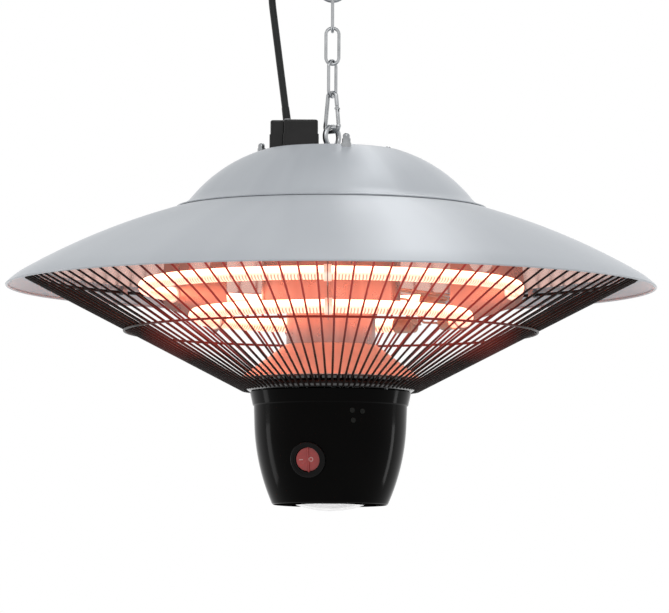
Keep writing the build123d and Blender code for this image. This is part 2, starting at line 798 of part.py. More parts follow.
# Main shade: flat flange under the carrier, long bell, rolled rim
with BuildPart() as main_shade:
    with BuildSketch(Plane.XZ):
        with BuildLine() as shade_line:
            flange_edge = (shade_flange_radius, shade_flange_h)
            Line((shade_opening_radius, level(shade_flange_h)), at_level(flange_edge))
            TangentArc(at_level(flange_edge), at_level(shade_shoulder), tangent=(1, 0))
            bell = spun_wall(shade_wall)
            TangentArc(at_level(shade_skirt), (rim_radius, level(rim_edge_h)), tangent=bell % 1)
            offset(shade_line.line, amount=shade_sheet, side=Side.RIGHT)
        make_face()
        with Locations((rim_radius - rim_bead_radius, level(rim_edge_h))):
            Circle(rim_bead_radius)
    revolve(axis=Axis.Z)
    with BuildSketch(Plane.XY.offset(level(reflector_flange_h - shade_sheet))):
        with at_studs():
            Circle((stud_thread + bore_gap) / 2)
    extrude(amount=3 * shade_sheet, mode=Mode.SUBTRACT)
save(main_shade, "main_shade")

# Reflector over the lamps, a shallow cone under the shade
reflector_slope = (reflector_flange_h - reflector_edge[1]) / (
    reflector_edge[0] - reflector_flange_radius
)
with BuildPart() as reflector:
    with BuildSketch(Plane.XZ):
        with BuildLine() as reflector_line:
            Polyline(
                (drum_radius + touch_gap, level(reflector_flange_h)),
                (reflector_flange_radius, level(reflector_flange_h)),
                at_level(reflector_edge),
            )
            offset(reflector_line.line, amount=reflector_sheet, side=Side.RIGHT)
        make_face()
    revolve(axis=Axis.Z)
    with BuildSketch(Plane.XY.offset(level(drum_flange_h - reflector_sheet))):
        with at_studs():
            Circle((stud_thread + bore_gap) / 2)
    extrude(amount=3 * reflector_sheet, mode=Mode.SUBTRACT)
save(reflector, "reflector")

# Drum that holds the lamps' terminals
lead_angles = (lamp_gap_angle - lead_spread, lamp_gap_angle + lead_spread)
lead_heights = (outer_lead_h, inner_lead_h)


def lead_plane(angle, height):
    outward = (cos(radians(angle)), sin(radians(angle)), 0)
    origin = (drum_radius * outward[0], drum_radius * outward[1], level(height))
    return Plane(origin=origin, z_dir=outward)


with BuildPart() as drum:
    with BuildSketch(Plane.XZ):
        with BuildLine():
            Polyline(
                (0, level(drum_bottom_h)),
                (drum_radius, level(drum_bottom_h)),
                (drum_radius, level(drum_flange_h - drum_sheet)),
                (drum_flange_radius, level(drum_flange_h - drum_sheet)),
                (drum_flange_radius, level(drum_flange_h)),
                (drum_radius - drum_sheet, level(drum_flange_h)),
                (drum_radius - drum_sheet, level(drum_floor_h)),
                (0, level(drum_floor_h)),
                close=True,
            )
        make_face()
    revolve(axis=Axis.Z)
    with BuildSketch(Plane.XY.offset(level(drum_bottom_h))):
        Circle((tie_rod_diameter + bore_gap) / 2)
        with Locations((harness_x, 0)):
            Circle(harness_hole / 2)
    extrude(amount=drum_sheet, mode=Mode.SUBTRACT)
    with BuildSketch(Plane.XY.offset(level(drum_flange_h - drum_sheet))):
        with at_studs():
            Circle((stud_thread + bore_gap) / 2)
    extrude(amount=drum_sheet, mode=Mode.SUBTRACT)
    for height in lead_heights:
        for angle in lead_angles:
            with BuildSketch(lead_plane(angle, height)):
                Circle((lead_bush_neck + bore_gap) / 2)
            extrude(amount=2 * drum_sheet, both=True, mode=Mode.SUBTRACT)
save(drum, "drum")

with BuildPart() as lead_bushes:
    for height in lead_heights:
        for angle in lead_angles:
            face = lead_plane(angle, height)
            with BuildSketch(face.offset(sheet_gap)):
                Circle(lead_bush_diameter / 2)
            extrude(amount=lead_bush_length / 2)
            with BuildSketch(face.offset(sheet_gap)):
                Circle(lead_bush_neck / 2)
            extrude(amount=-lead_bush_length / 2)
            with BuildSketch(face.offset(-lead_bush_length)):
                Circle((lead_diameter + bore_gap) / 2)
            extrude(amount=2 * lead_bush_length, mode=Mode.SUBTRACT)
save(lead_bushes, "lead_bushes")

with BuildPart() as lamp_terminal_block:
    with BuildSketch(Plane.XY.offset(level(drum_floor_h))):
        with Locations((lamp_terminal_x, 0)):
            Rectangle(lamp_terminal_size[0], lamp_terminal_size[1])
    extrude(amount=lamp_terminal_size[2])
    with BuildSketch(Plane.XY.offset(level(drum_floor_h) + lamp_terminal_size[2])):
        with Locations((lamp_terminal_x, 0)):
            with GridLocations(lamp_terminal_size[0] / 2, lamp_terminal_size[1] / 4, 2, 4):
                Circle(lamp_terminal_screw_radius)
    extrude(amount=-lamp_terminal_screw_depth, mode=Mode.SUBTRACT)
save(lamp_terminal_block, "lamp_terminal_block")

# Column between drum and pot, and the cone that shields the pot from the lamps
with BuildPart() as column:
    with BuildSketch(Plane.XY.offset(level(cone_top[1]))):
        Circle(column_radius)
    extrude(amount=drum_bottom_h - cone_top[1])
    with BuildSketch(Plane.XY.offset(level(cone_top[1]))):
        Circle(column_radius - column_sheet)
    extrude(amount=drum_bottom_h - cone_top[1] - column_sheet, mode=Mode.SUBTRACT)
    with BuildSketch(Plane.XY.offset(level(drum_bottom_h))):
        Circle((tie_rod_diameter + bore_gap) / 2)
        with Locations((harness_x, 0)):
            Circle(harness_hole / 2)
    extrude(amount=-column_sheet, mode=Mode.SUBTRACT)
save(column, "column")

with BuildPart() as lower_reflector_cone:
    with BuildSketch(Plane.XZ):
        with BuildLine() as cone_line:
            Polyline((0, level(cone_top[1])), at_level(cone_top), at_level(cone_foot))
            offset(cone_line.line, amount=cone_sheet, side=Side.RIGHT)
        make_face()
    revolve(axis=Axis.Z)
    with BuildSketch(Plane.XY.offset(level(cone_top[1]))):
        Circle((tie_rod_diameter + bore_gap) / 2)
        with Locations((harness_x, 0)):
            Circle(harness_hole / 2)
    extrude(amount=-cone_sheet, mode=Mode.SUBTRACT)
save(lower_reflector_cone, "lower_reflector_cone")

# Tie rod that clamps pot plate, cone, column and drum together
tie_foot_h = plate_floor_h - tie_nut_height - tie_rod_beyond_nut
tie_top_h = drum_floor_h + tie_nut_height + tie_rod_beyond_nut
with BuildPart() as tie_rod:
    with BuildSketch(Plane.XY.offset(level(tie_foot_h))):
        Circle(tie_rod_diameter / 2)
    extrude(amount=tie_top_h - tie_foot_h)
save(tie_rod, "tie_rod")

cone_underside_h = cone_top[1] - cone_sheet
plate_top_h = plate_floor_h + plate_sheet
with BuildPart() as tie_rod_nuts:
    for base_h in (
        plate_floor_h - tie_nut_height,
        plate_top_h,
        cone_underside_h - tie_nut_height,
        drum_floor_h,
    ):
        with BuildSketch(Plane.XY.offset(level(base_h))):
            RegularPolygon(tie_nut_width / 2, 6, major_radius=False)
            Circle((tie_rod_diameter + bore_gap) / 2, mode=Mode.SUBTRACT)
        extrude(amount=tie_nut_height)
save(tie_rod_nuts, "tie_rod_nuts")

# Supply harness from the junction box down to the control board's connector
board_top_h = control_board_h + board_thickness
harness_foot_h = board_top_h + connector_size[2] + sheet_gap
with BuildPart() as supply_harness:
    with BuildSketch(Plane.XY.offset(level(harness_foot_h))):
        with Locations((harness_x, 0)):
            Circle(harness_diameter / 2)
    extrude(amount=box_base_h + box_wall + harness_into_box - harness_foot_h)
save(supply_harness, "supply_harness")

# Lamps: glass rings with a gap, a filament inside and a ceramic cap on each end
lamp_rings = ((outer_lamp_radius, outer_lamp_h), (inner_lamp_radius, inner_lamp_h))


def lamp_arc(radius, height, inset):
    start = lamp_gap_angle + lamp_gap_half + degrees(inset / radius)
    section = Plane(
        origin=(0, 0, level(height)),
        x_dir=(*turned(1, start), 0),
        z_dir=(*turned(1, start - 90), 0),
    )
    return section, 360 - 2 * (start - lamp_gap_angle)


for name, (radius, height) in zip(("outer_lamp_tube", "inner_lamp_tube"), lamp_rings):
    section, arc = lamp_arc(radius, height, lamp_cap_web + sheet_gap)
    with BuildPart() as lamp_tube:
        with BuildSketch(section):
            with Locations((radius, 0)):
                Circle(lamp_tube_radius)
                Circle(lamp_tube_radius - lamp_tube_wall, mode=Mode.SUBTRACT)
        revolve(axis=Axis.Z, revolution_arc=arc)
    save(lamp_tube, name)

with BuildPart() as lamp_filaments:
    for radius, height in lamp_rings:
        section, arc = lamp_arc(radius, height, lamp_cap_web + sheet_gap)
        with BuildSketch(section):
            with Locations((radius, 0)):
                Circle(filament_radius)
        revolve(axis=Axis.Z, revolution_arc=arc)
save(lamp_filaments, "lamp_filaments")


def lamp_point(radius, angle, height):
    return Plane(origin=(*turned(radius, angle), level(height)), z_dir=(*turned(1, angle + 90), 0))


with BuildPart() as lamp_end_caps:
    for radius, height in lamp_rings:
        for side in (-1, 1):
            middle = lamp_point(radius, lamp_gap_angle + side * lamp_gap_half, height)
            with BuildSketch(middle):
                Circle(lamp_cap_radius)
            extrude(amount=lamp_cap_length / 2, both=True)
            with BuildSketch(middle.offset(side * lamp_cap_web)):
                Circle(lamp_tube_radius + lamp_cap_clearance)
            extrude(amount=side * lamp_cap_length / 2, mode=Mode.SUBTRACT)
save(lamp_end_caps, "lamp_end_caps")

# Leads from the caps through the drum's wall to the terminal block
lead_block_y = lamp_terminal_size[1] / 2 + sheet_gap
lead_block_x = lamp_terminal_x + 1.5 * lead_pitch
with BuildPart() as lamp_leads:
    lead_number = 0
    for side, angle in zip((-1, 1), lead_angles):
        for (radius, height), lead_h in zip(lamp_rings, lead_heights):
            cap_face = lamp_point(radius, lamp_gap_angle + side * lamp_gap_half, height)
            block_x = lead_block_x - lead_number * lead_pitch
            with BuildLine() as lead_line:
                FilletPolyline(
                    cap_face.origin - side * (lamp_cap_length / 2 + sheet_gap) * cap_face.z_dir,
                    cap_face.origin - side * (lamp_cap_length / 2 + lead_straight) * cap_face.z_dir,
                    (*turned(radius - 2 * lamp_cap_radius, angle), level(height)),
                    (*turned(lead_rise_radius, angle), level(lead_h)),
                    (*turned(drum_radius - lead_bush_length, angle), level(lead_h)),
                    (block_x, lead_block_y + 2 * lead_pitch, level(inner_lead_h)),
                    (block_x, lead_block_y, level(inner_lead_h)),
                    radius=lead_bend,
                )
            with BuildSketch(Plane(origin=lead_line.line @ 0, z_dir=lead_line.line % 0)):
                Circle(lead_diameter / 2)
            sweep(path=lead_line.line)
            lead_number += 1
save(lamp_leads, "lamp_leads")

# Brackets that hang both lamps from the reflector, and a sleeve round each tube
bracket_inner = inner_lamp_radius - lamp_cap_radius - bracket_margin
bracket_outer = outer_lamp_radius + lamp_cap_radius
bracket_drop = lamp_cap_radius + bracket_margin


def under_reflector(radius):
    skin = reflector_sheet * hypot(1, reflector_slope) + sheet_gap
    return reflector_flange_h - skin - (radius - reflector_flange_radius) * reflector_slope


with BuildPart() as lamp_brackets:
    for angle in bracket_angles:
        face = Plane(origin=(0, 0, 0), x_dir=(*turned(1, angle), 0), z_dir=(*turned(1, angle - 90), 0))
        with BuildSketch(face):
            with BuildLine():
                Polyline(
                    (bracket_inner, level(under_reflector(bracket_inner))),
                    (bracket_outer, level(under_reflector(bracket_outer))),
                    (bracket_outer + bracket_margin, level(outer_lamp_h)),
                    (bracket_outer, level(outer_lamp_h - bracket_drop)),
                    (inner_lamp_radius + bracket_drop, level(inner_lamp_h)),
                    (inner_lamp_radius, level(inner_lamp_h - bracket_drop)),
                    (bracket_inner, level(inner_lamp_h)),
                    close=True,
                )
            make_face()
            for radius, height in lamp_rings:
                with Locations((radius, level(height))):
                    Circle(lamp_tube_radius + bore_gap + clip_wall + sheet_gap, mode=Mode.SUBTRACT)
            with Locations(at_level(bracket_window_at)):
                Circle(bracket_window_radius, mode=Mode.SUBTRACT)
        extrude(amount=bracket_sheet / 2, both=True)
save(lamp_brackets, "lamp_brackets")

with BuildPart() as lamp_clips:
    for angle in bracket_angles:
        for radius, height in lamp_rings:
            with BuildSketch(lamp_point(radius, angle, height)):
                Circle(lamp_tube_radius + bore_gap + clip_wall)
                Circle(lamp_tube_radius + bore_gap, mode=Mode.SUBTRACT)
            extrude(amount=clip_length / 2, both=True)
save(lamp_clips, "lamp_clips")

# Wire grille: straight wires and the three rings they are welded to
grille_run = hypot(grille_end[0] - grille_start[0], grille_end[1] - grille_start[1])
grille_out = (grille_end[0] - grille_start[0]) / grille_run
grille_up = (grille_end[1] - grille_start[1]) / grille_run
grille_middle = ((grille_start[0] + grille_end[0]) / 2, (grille_start[1] + grille_end[1]) / 2)
with BuildPart() as grille_wires:
    with Locations((0, 0, level(grille_middle[1]))):
        with PolarLocations(grille_middle[0], grille_wire_count, start_angle=grille_phase - 90):
            Cylinder(
                grille_wire / 2,
                grille_run,
                rotation=(0, degrees(atan2(grille_out, grille_up)), 0),
            )
save(grille_wires, "grille_wires")


def on_grille(radius, above):
    share = (radius - grille_start[0]) / grille_out
    return radius - above * grille_up, grille_start[1] + share * grille_up + above * grille_out


ring_stack = (ring_wire + grille_wire) / 2 + weld_gap
outer_ring = on_grille(outer_ring_at, ring_stack)
middle_ring = on_grille(middle_ring_at, -(middle_ring_wire + grille_wire) / 2 - weld_gap)
inner_ring = on_grille(inner_ring_at, ring_stack)
for name, (radius, height), wire in (
    ("grille_outer_ring", outer_ring, ring_wire),
    ("grille_middle_ring", middle_ring, middle_ring_wire),
    ("grille_inner_ring", inner_ring, ring_wire),
):
    with BuildPart() as ring:
        with Locations((0, 0, level(height))):
            Torus(radius, wire / 2)
    save(ring, name)

# Clips that hold the grille's outer ring under the shade
clip_inner = outer_ring[0] - rim_clip_half_reach
clip_outer = outer_ring[0] + rim_clip_half_reach
clip_skin = shade_sheet + weld_gap
clip_bottom_h = outer_ring[1] - ring_wire / 2 - rim_clip_under_ring
clip_arc = degrees(rim_clip_width / outer_ring[0])
with BuildPart() as rim_clips:
    for number in range(rim_clip_count):
        angle = rim_clip_start_angle + number * 360 / rim_clip_count - clip_arc / 2
        face = Plane(origin=(0, 0, 0), x_dir=(*turned(1, angle), 0), z_dir=(*turned(1, angle - 90), 0))
        with BuildSketch(face):
            with BuildLine():
                Polyline(
                    (clip_inner, level(clip_bottom_h)),
                    (clip_outer, level(clip_bottom_h)),
                    (clip_outer, level(on_wall(shade_wall, clip_outer, clip_skin))),
                    (clip_inner, level(on_wall(shade_wall, clip_inner, clip_skin))),
                    close=True,
                )
            make_face()
        revolve(axis=Axis.Z, revolution_arc=clip_arc)
    with Locations((0, 0, level(outer_ring[1]))):
        Torus(outer_ring[0], ring_wire / 2 + weld_gap, mode=Mode.SUBTRACT)
save(rim_clips, "rim_clips")


# Control pot: a dish above, a moulded shell below it
def at_pot_screws():
    return PolarLocations(pot_screw_circle_radius, pot_screw_count, start_angle=pot_screw_start_angle)


with BuildPart() as pot_top_plate:
    with BuildSketch(Plane.XZ):
        with BuildLine() as dish_line:
            Polyline(
                at_level(plate_rim_top),
                at_level(plate_rim_foot),
                (plate_flat_radius, level(plate_floor_h)),
                (0, level(plate_floor_h)),
            )
            offset(dish_line.line, amount=plate_sheet, side=Side.RIGHT)
        make_face()
    revolve(axis=Axis.Z)
    with BuildSketch(Plane.XY.offset(level(plate_floor_h))):
        Circle((tie_rod_diameter + bore_gap) / 2)
        with Locations((harness_x, 0)):
            Circle(harness_hole / 2)
        with at_pot_screws():
            Circle((pot_screw_diameter + bore_gap) / 2)
    extrude(amount=plate_sheet, mode=Mode.SUBTRACT)
save(pot_top_plate, "pot_top_plate")

with BuildPart() as pot_screws:
    with BuildSketch(Plane.XY.offset(level(plate_top_h))):
        with at_pot_screws():
            Circle(pot_screw_diameter / 2)
    extrude(amount=-pot_screw_length)
    with BuildSketch(Plane.XY.offset(level(plate_top_h))):
        with at_pot_screws():
            Circle(pot_screw_head / 2)
    extrude(amount=pot_screw_head_height)
save(pot_screws, "pot_screws")

# The switch looks out of the pot along this plane's normal
switch_out = Vector(
    *turned(cos(radians(switch_tilt)), switch_angle),
    -sin(radians(switch_tilt)),
)
switch_side = Vector(*turned(1, switch_angle + 90), 0)
switch_face = Plane(
    origin=(*turned(switch_surface_radius, switch_angle), level(switch_h)),
    x_dir=switch_side,
    z_dir=switch_out,
)


def indicator_face(angle, height):
    return Plane(
        origin=(*turned(pot_step[0] + indicator_proud, angle), level(height)),
        z_dir=(*turned(1, angle), 0),
    )


with BuildPart() as pot_shell:
    with BuildSketch(Plane.XZ):
        with BuildLine() as pot_line:
            Polyline(at_level(pot_top), at_level(pot_collar_foot), at_level(pot_step))
            side_wall = Line(at_level(pot_step), at_level(pot_straight_end))
            belly = spun_steps(
                TangentArc(
                    at_level(pot_straight_end),
                    at_level(pot_heel),
                    tangent=side_wall % 1,
                    mode=Mode.PRIVATE,
                )
            )
            TangentArc(at_level(pot_heel), at_level(pot_base_edge), tangent=belly % 1)
            Line(at_level(pot_base_edge), (lens_radius + bore_gap, level(pot_base_edge[1])))
            offset(pot_line.line, amount=pot_wall, side=Side.RIGHT)
        make_face()
    revolve(axis=Axis.Z)
    with BuildSketch(Plane.XY.offset(level(plate_floor_h - sheet_gap))):
        with at_pot_screws():
            Circle(pot_boss_diameter / 2)
    extrude(amount=-pot_boss_length)
    with BuildSketch(Plane.XY.offset(level(plate_floor_h - sheet_gap))):
        with at_pot_screws():
            Circle((pot_screw_diameter + bore_gap) / 2)
    extrude(amount=-pot_screw_length, mode=Mode.SUBTRACT)
    with BuildSketch(switch_face):
        Circle(bezel_radius + bore_gap / 2)
    extrude(amount=switch_barrel_depth / 2, both=True, mode=Mode.SUBTRACT)
    for angle, height in indicator_places:
        with BuildSketch(indicator_face(angle, height)):
            Circle(indicator_radius + bore_gap / 2)
        extrude(amount=-indicator_length, mode=Mode.SUBTRACT)
save(pot_shell, "pot_shell")

# Lens under the pot, the ring that holds it, and the LED board on that ring
pot_floor_h = pot_base_edge[1] + pot_wall
flange_low_h = pot_floor_h + weld_gap
flange_high_h = flange_low_h + lens_flange_thickness
lens_rise = pot_base_edge[1] - lens_bottom_h
lens_curve = (lens_radius**2 + lens_rise**2) / (2 * lens_rise)
lens_floor_h = lens_bottom_h + lens_wall
inner_lens_radius = lens_radius - lens_wall


def on_lens(curve, bottom_h, radius):
    return bottom_h + curve - sqrt(curve**2 - radius**2)


inner_lens_edge_h = on_lens(lens_curve - lens_wall, lens_floor_h, inner_lens_radius)
inner_lens_middle_h = on_lens(lens_curve - lens_wall, lens_floor_h, inner_lens_radius / 2)
with BuildPart() as led_lens:
    with BuildSketch(Plane.XZ):
        with BuildLine():
            ThreePointArc(
                (0, level(lens_bottom_h)),
                (lens_radius / 2, level(on_lens(lens_curve, lens_bottom_h, lens_radius / 2))),
                (lens_radius, level(pot_base_edge[1])),
            )
            Polyline(
                (lens_radius, level(pot_base_edge[1])),
                (lens_radius, level(flange_low_h)),
                (lens_flange_radius, level(flange_low_h)),
                (lens_flange_radius, level(flange_high_h)),
                (inner_lens_radius, level(flange_high_h)),
                (inner_lens_radius, level(inner_lens_edge_h)),
            )
            ThreePointArc(
                (inner_lens_radius, level(inner_lens_edge_h)),
                (inner_lens_radius / 2, level(inner_lens_middle_h)),
                (0, level(lens_floor_h)),
            )
            Line((0, level(lens_floor_h)), (0, level(lens_bottom_h)))
        make_face()
    revolve(axis=Axis.Z)
save(led_lens, "led_lens")

retainer_low_h = flange_high_h + weld_gap
retainer_high_h = retainer_low_h + retainer_thickness
with BuildPart() as lens_retainer:
    with BuildSketch(Plane.XZ):
        with BuildLine():
            Polyline(
                (retainer_inner_radius, level(retainer_low_h)),
                (lens_flange_radius + bore_gap, level(retainer_low_h)),
                (lens_flange_radius + bore_gap, level(flange_low_h)),
                (retainer_outer_radius, level(flange_low_h)),
                (retainer_outer_radius, level(retainer_high_h)),
                (retainer_inner_radius, level(retainer_high_h)),
                close=True,
            )
        make_face()
    revolve(axis=Axis.Z)
save(lens_retainer, "lens_retainer")

led_board_low_h = retainer_high_h + weld_gap
with BuildPart() as led_board:
    with BuildSketch(Plane.XY.offset(level(led_board_low_h))):
        Circle(led_board_radius)
    extrude(amount=board_thickness)
    with BuildSketch(Plane.XY.offset(level(led_board_low_h))):
        with PolarLocations(led_circle_radius, led_count):
            Rectangle(led_size[0], led_size[1])
    extrude(amount=-led_size[2])
save(led_board, "led_board")

# Control board, hung under the dish
with BuildPart() as control_board:
    with BuildSketch(Plane.XY.offset(level(control_board_h))):
        Rectangle(*control_board_size)
    extrude(amount=board_thickness)
save(control_board, "control_board")

with BuildPart() as board_standoffs:
    with BuildSketch(Plane.XY.offset(level(board_top_h))):
        with GridLocations(standoff_spacing[0], standoff_spacing[1], 2, 2):
            Circle(standoff_diameter / 2)
    extrude(amount=plate_floor_h - board_top_h)
save(board_standoffs, "board_standoffs")

with BuildPart() as board_components:
    for place, size in (
        (relay_place, relay_size),
        (transformer_place, transformer_size),
        ((harness_x, 0), connector_size),
    ):
        with BuildSketch(Plane.XY.offset(level(board_top_h))):
            with Locations(place):
                Rectangle(size[0], size[1])
        extrude(amount=size[2])
    with BuildSketch(Plane.XY.offset(level(board_top_h))):
        with Locations(capacitor_place):
            Circle(capacitor_diameter / 2)
    extrude(amount=capacitor_height)
save(board_components, "board_components")

# Switch: a round housing with its bezel and tabs, and a rocker on a cross pin
with BuildPart() as switch_body:
    with BuildSketch(switch_face.offset(-bezel_below)):
        Circle(bezel_radius)
    extrude(amount=bezel_below + bezel_above)
    crown = switch_body.faces().sort_by(Axis(switch_face.origin, switch_out))[-1].edges()
    fillet(crown, radius=bezel_round)
    with BuildSketch(switch_face):
        Circle(switch_barrel_radius)
    extrude(amount=bezel_above + bezel_round, mode=Mode.SUBTRACT)
    with BuildSketch(switch_face.offset(-switch_barrel_depth)):
        Circle(switch_barrel_radius)
    extrude(amount=switch_barrel_depth + switch_barrel_proud)
    with BuildSketch(switch_face.offset(-rocker_pocket_depth)):
        Circle(rocker_pocket_radius)
    extrude(amount=rocker_pocket_depth + bezel_above, mode=Mode.SUBTRACT)
    with BuildSketch(switch_face.offset(-switch_barrel_depth)):
        with GridLocations(tab_spacing, 0, 3, 1):
            Rectangle(tab_size[0], tab_size[1])
    extrude(amount=-tab_size[2])
    with Locations(switch_face.offset(-rocker_pivot_depth).location):
        Cylinder(
            (rocker_pin_diameter + bore_gap) / 2,
            rocker_pin_length + 2 * sheet_gap,
            rotation=(90, 0, 0),
            mode=Mode.SUBTRACT,
        )
save(switch_body, "switch_body")

lean_cos, lean_sin = cos(radians(rocker_tilt)), sin(radians(rocker_tilt))
rocker_face = Plane(
    origin=switch_face.origin - rocker_pivot_depth * switch_out,
    x_dir=lean_cos * switch_side - lean_sin * switch_out,
    z_dir=lean_cos * switch_out + lean_sin * switch_side,
)
rocker_edge_rise = rocker_radius * tan(radians(rocker_tilt))
with BuildPart() as switch_rocker:
    with BuildSketch(rocker_face.offset(rocker_pivot_depth - rocker_depth)):
        Circle(rocker_radius)
    extrude(amount=rocker_depth + rocker_rise)
    with BuildSketch(Plane(origin=rocker_face.origin, x_dir=rocker_face.x_dir, z_dir=-rocker_face.y_dir)):
        with BuildLine():
            valley = rocker_pivot_depth - rocker_dip
            Polyline(
                (0, valley),
                (2 * rocker_radius, valley + 2 * rocker_edge_rise),
                (2 * rocker_radius, 2 * rocker_radius),
                (-2 * rocker_radius, 2 * rocker_radius),
                (-2 * rocker_radius, valley + 2 * rocker_edge_rise),
                close=True,
            )
        make_face()
    extrude(amount=2 * rocker_radius, both=True, mode=Mode.SUBTRACT)
    with Locations(rocker_face.location):
        Cylinder(rocker_pin_diameter / 2, rocker_pin_length, rotation=(90, 0, 0))
save(switch_rocker, "switch_rocker")

with BuildPart() as indicator_lights:
    for angle, height in indicator_places:
        with BuildSketch(indicator_face(angle, height)):
            Circle(indicator_radius)
        extrude(amount=-indicator_length)
save(indicator_lights, "indicator_lights")
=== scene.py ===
from math import atan2, cos, hypot, pi, radians, sin

import bpy
from mathutils import Matrix, Vector


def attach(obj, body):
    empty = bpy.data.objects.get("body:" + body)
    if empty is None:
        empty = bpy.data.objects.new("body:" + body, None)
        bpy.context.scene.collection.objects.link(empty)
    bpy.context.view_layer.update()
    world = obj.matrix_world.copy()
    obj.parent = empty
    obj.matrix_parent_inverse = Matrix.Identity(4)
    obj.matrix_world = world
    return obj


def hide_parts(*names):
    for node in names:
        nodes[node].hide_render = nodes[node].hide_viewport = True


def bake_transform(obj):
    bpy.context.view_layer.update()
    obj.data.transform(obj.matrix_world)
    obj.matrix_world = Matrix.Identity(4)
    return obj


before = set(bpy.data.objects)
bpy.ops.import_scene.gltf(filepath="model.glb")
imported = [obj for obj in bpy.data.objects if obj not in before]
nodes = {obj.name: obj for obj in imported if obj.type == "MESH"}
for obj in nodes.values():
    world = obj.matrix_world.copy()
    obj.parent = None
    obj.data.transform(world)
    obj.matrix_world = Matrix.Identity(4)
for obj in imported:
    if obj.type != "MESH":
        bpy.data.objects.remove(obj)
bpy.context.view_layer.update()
rimZ = -0.3070705  # plane of the shade's rim, the heights in mm below count from it


def clearSelection():
    bpy.ops.object.select_all(action="DESELECT")


def takeUp(piece):
    clearSelection()
    piece.select_set(True)
    bpy.context.view_layer.objects.active = piece


def intoMesh(piece):
    # puts the place into the mesh, so that the object sits at the origin
    takeUp(piece)
    bpy.ops.object.transform_apply(location=True, rotation=True, scale=True)


def applyAll(piece):
    takeUp(piece)
    for modifier in list(piece.modifiers):
        bpy.ops.object.modifier_apply(modifier=modifier.name)


cameraSetting = {
    "target": (0.0032, 0.0, -0.3255),
    "distance": 5.0,
    "below": 4.4,  # degrees under the horizon
    "roll": 0.3,
    "lens": 292.0,
    "clip": (0.1, 60),
}
view = bpy.data.cameras.new("camera")
view.lens = cameraSetting["lens"]
view.clip_start, view.clip_end = cameraSetting["clip"]
camera = bpy.data.objects.new("camera", view)
bpy.context.scene.collection.objects.link(camera)
below = radians(cameraSetting["below"])
eye = Vector(cameraSetting["target"]) + cameraSetting["distance"] * Vector((0, -cos(below), -sin(below)))
turn = Matrix.Rotation(pi / 2 + below, 4, "X") @ Matrix.Rotation(radians(cameraSetting["roll"]), 4, "Z")
camera.matrix_world = Matrix.Translation(eye) @ turn
bpy.context.scene.camera = camera

# mains cord, taut from the box to the ceiling gland
cordSetting = {
    "diameter": 0.0066,
    "route": [
        (-0.04047, 0.0, -0.16177),
        (-0.05286, 0.0, -0.06771),
        (-0.0573, 0.0, -0.034),
        (-0.0573, 0.0, -0.0001),
    ],
    "cuts": (-0.1415, -0.10087, -0.0513),  # heights where one length ends and the next begins
    "sides": 24,
    "step": 0.002,  # between two rings of the tube
    "clear": 1e-4,  # points of the route within this height of a cut are left out
    "capAngles": (30, 60, 80),  # rings of the round ends
}


def readRoute(points):
    # points along the route's own smooth line
    data = bpy.data.curves.new("cordRoute", "CURVE")
    data.dimensions = "3D"
    data.resolution_u = 24  # steps between two knots
    spline = data.splines.new("NURBS")
    spline.points.add(len(points) - 1)
    for knot, point in zip(spline.points, points):
        knot.co = (*point, 1)
    spline.order_u = 3
    spline.use_endpoint_u = True
    route = bpy.data.objects.new("cordRoute", data)
    bpy.context.scene.collection.objects.link(route)
    bpy.context.view_layer.update()
    line = bpy.data.meshes.new_from_object(route)
    found = [vertex.co.copy() for vertex in line.vertices]
    bpy.data.objects.remove(route)
    bpy.data.meshes.remove(line)
    return found


def cutAt(line, height):
    for low, high in zip(line, line[1:]):
        if low.z <= height <= high.z:
            return low.lerp(high, (height - low.z) / (high.z - low.z))


def tubeAlong(name, line, radius, sides, capAngles):
    # a tube with a round end at both ends, so that two lengths meet closed when they tilt
    rings = []
    for k, point in enumerate(line):
        ahead = (line[min(k + 1, len(line) - 1)] - line[max(k - 1, 0)]).normalized()
        rings.append((point, ahead, radius))
    start, end = rings[0], rings[-1]
    for angle in capAngles:
        shrink, reach = radius * cos(radians(angle)), radius * sin(radians(angle))
        rings.insert(0, (start[0] - reach * start[1], start[1], shrink))
        rings.append((end[0] + reach * end[1], end[1], shrink))
    corners, faces = [], []
    for point, ahead, size in rings:
        side = Vector((0, 1, 0))
        up = ahead.cross(side).normalized()
        for k in range(sides):
            angle = 2 * pi * k / sides
            corners.append(point + size * (cos(angle) * side + sin(angle) * up))
    for ring in range(len(rings) - 1):
        for k in range(sides):
            a, b = ring * sides + k, ring * sides + (k + 1) % sides
            faces.append((a, b, b + sides, a + sides))
    faces.append(tuple(range(sides))[::-1])
    faces.append(tuple((len(rings) - 1) * sides + k for k in range(sides)))
    mesh = bpy.data.meshes.new(name)
    mesh.from_pydata(corners, [], faces)
    mesh.update()
    piece = bpy.data.objects.new(name, mesh)
    bpy.context.scene.collection.objects.link(piece)
    takeUp(piece)
    bpy.ops.object.mode_set(mode="EDIT")
    bpy.ops.mesh.select_all(action="SELECT")
    bpy.ops.mesh.normals_make_consistent(inside=False)
    bpy.ops.object.mode_set(mode="OBJECT")
    bpy.ops.object.shade_smooth()
    return piece


cordLine = readRoute(cordSetting["route"])
cordMarks = [cutAt(cordLine, height) for height in cordSetting["cuts"]]
cordEnds = cordMarks + [cordLine[-1] - Vector((0, 0, cordSetting["diameter"] / 2))]
cordLengths = {}
clear = cordSetting["clear"]
for name, low, high in zip(("cord_low", "cord_middle", "cord_high"), cordEnds, cordEnds[1:]):
    inner = [point for point in cordLine if low.z + clear < point.z < high.z - clear]
    steps = []
    for a, b in zip([low, *inner], [*inner, high]):
        count = max(1, round((b - a).length / cordSetting["step"]))
        steps += [a.lerp(b, k / count) for k in range(count)]
    steps.append(high)
    cordLengths[name] = steps
    tubeAlong(name, steps, cordSetting["diameter"] / 2, cordSetting["sides"], cordSetting["capAngles"])
print("camera and cord done")


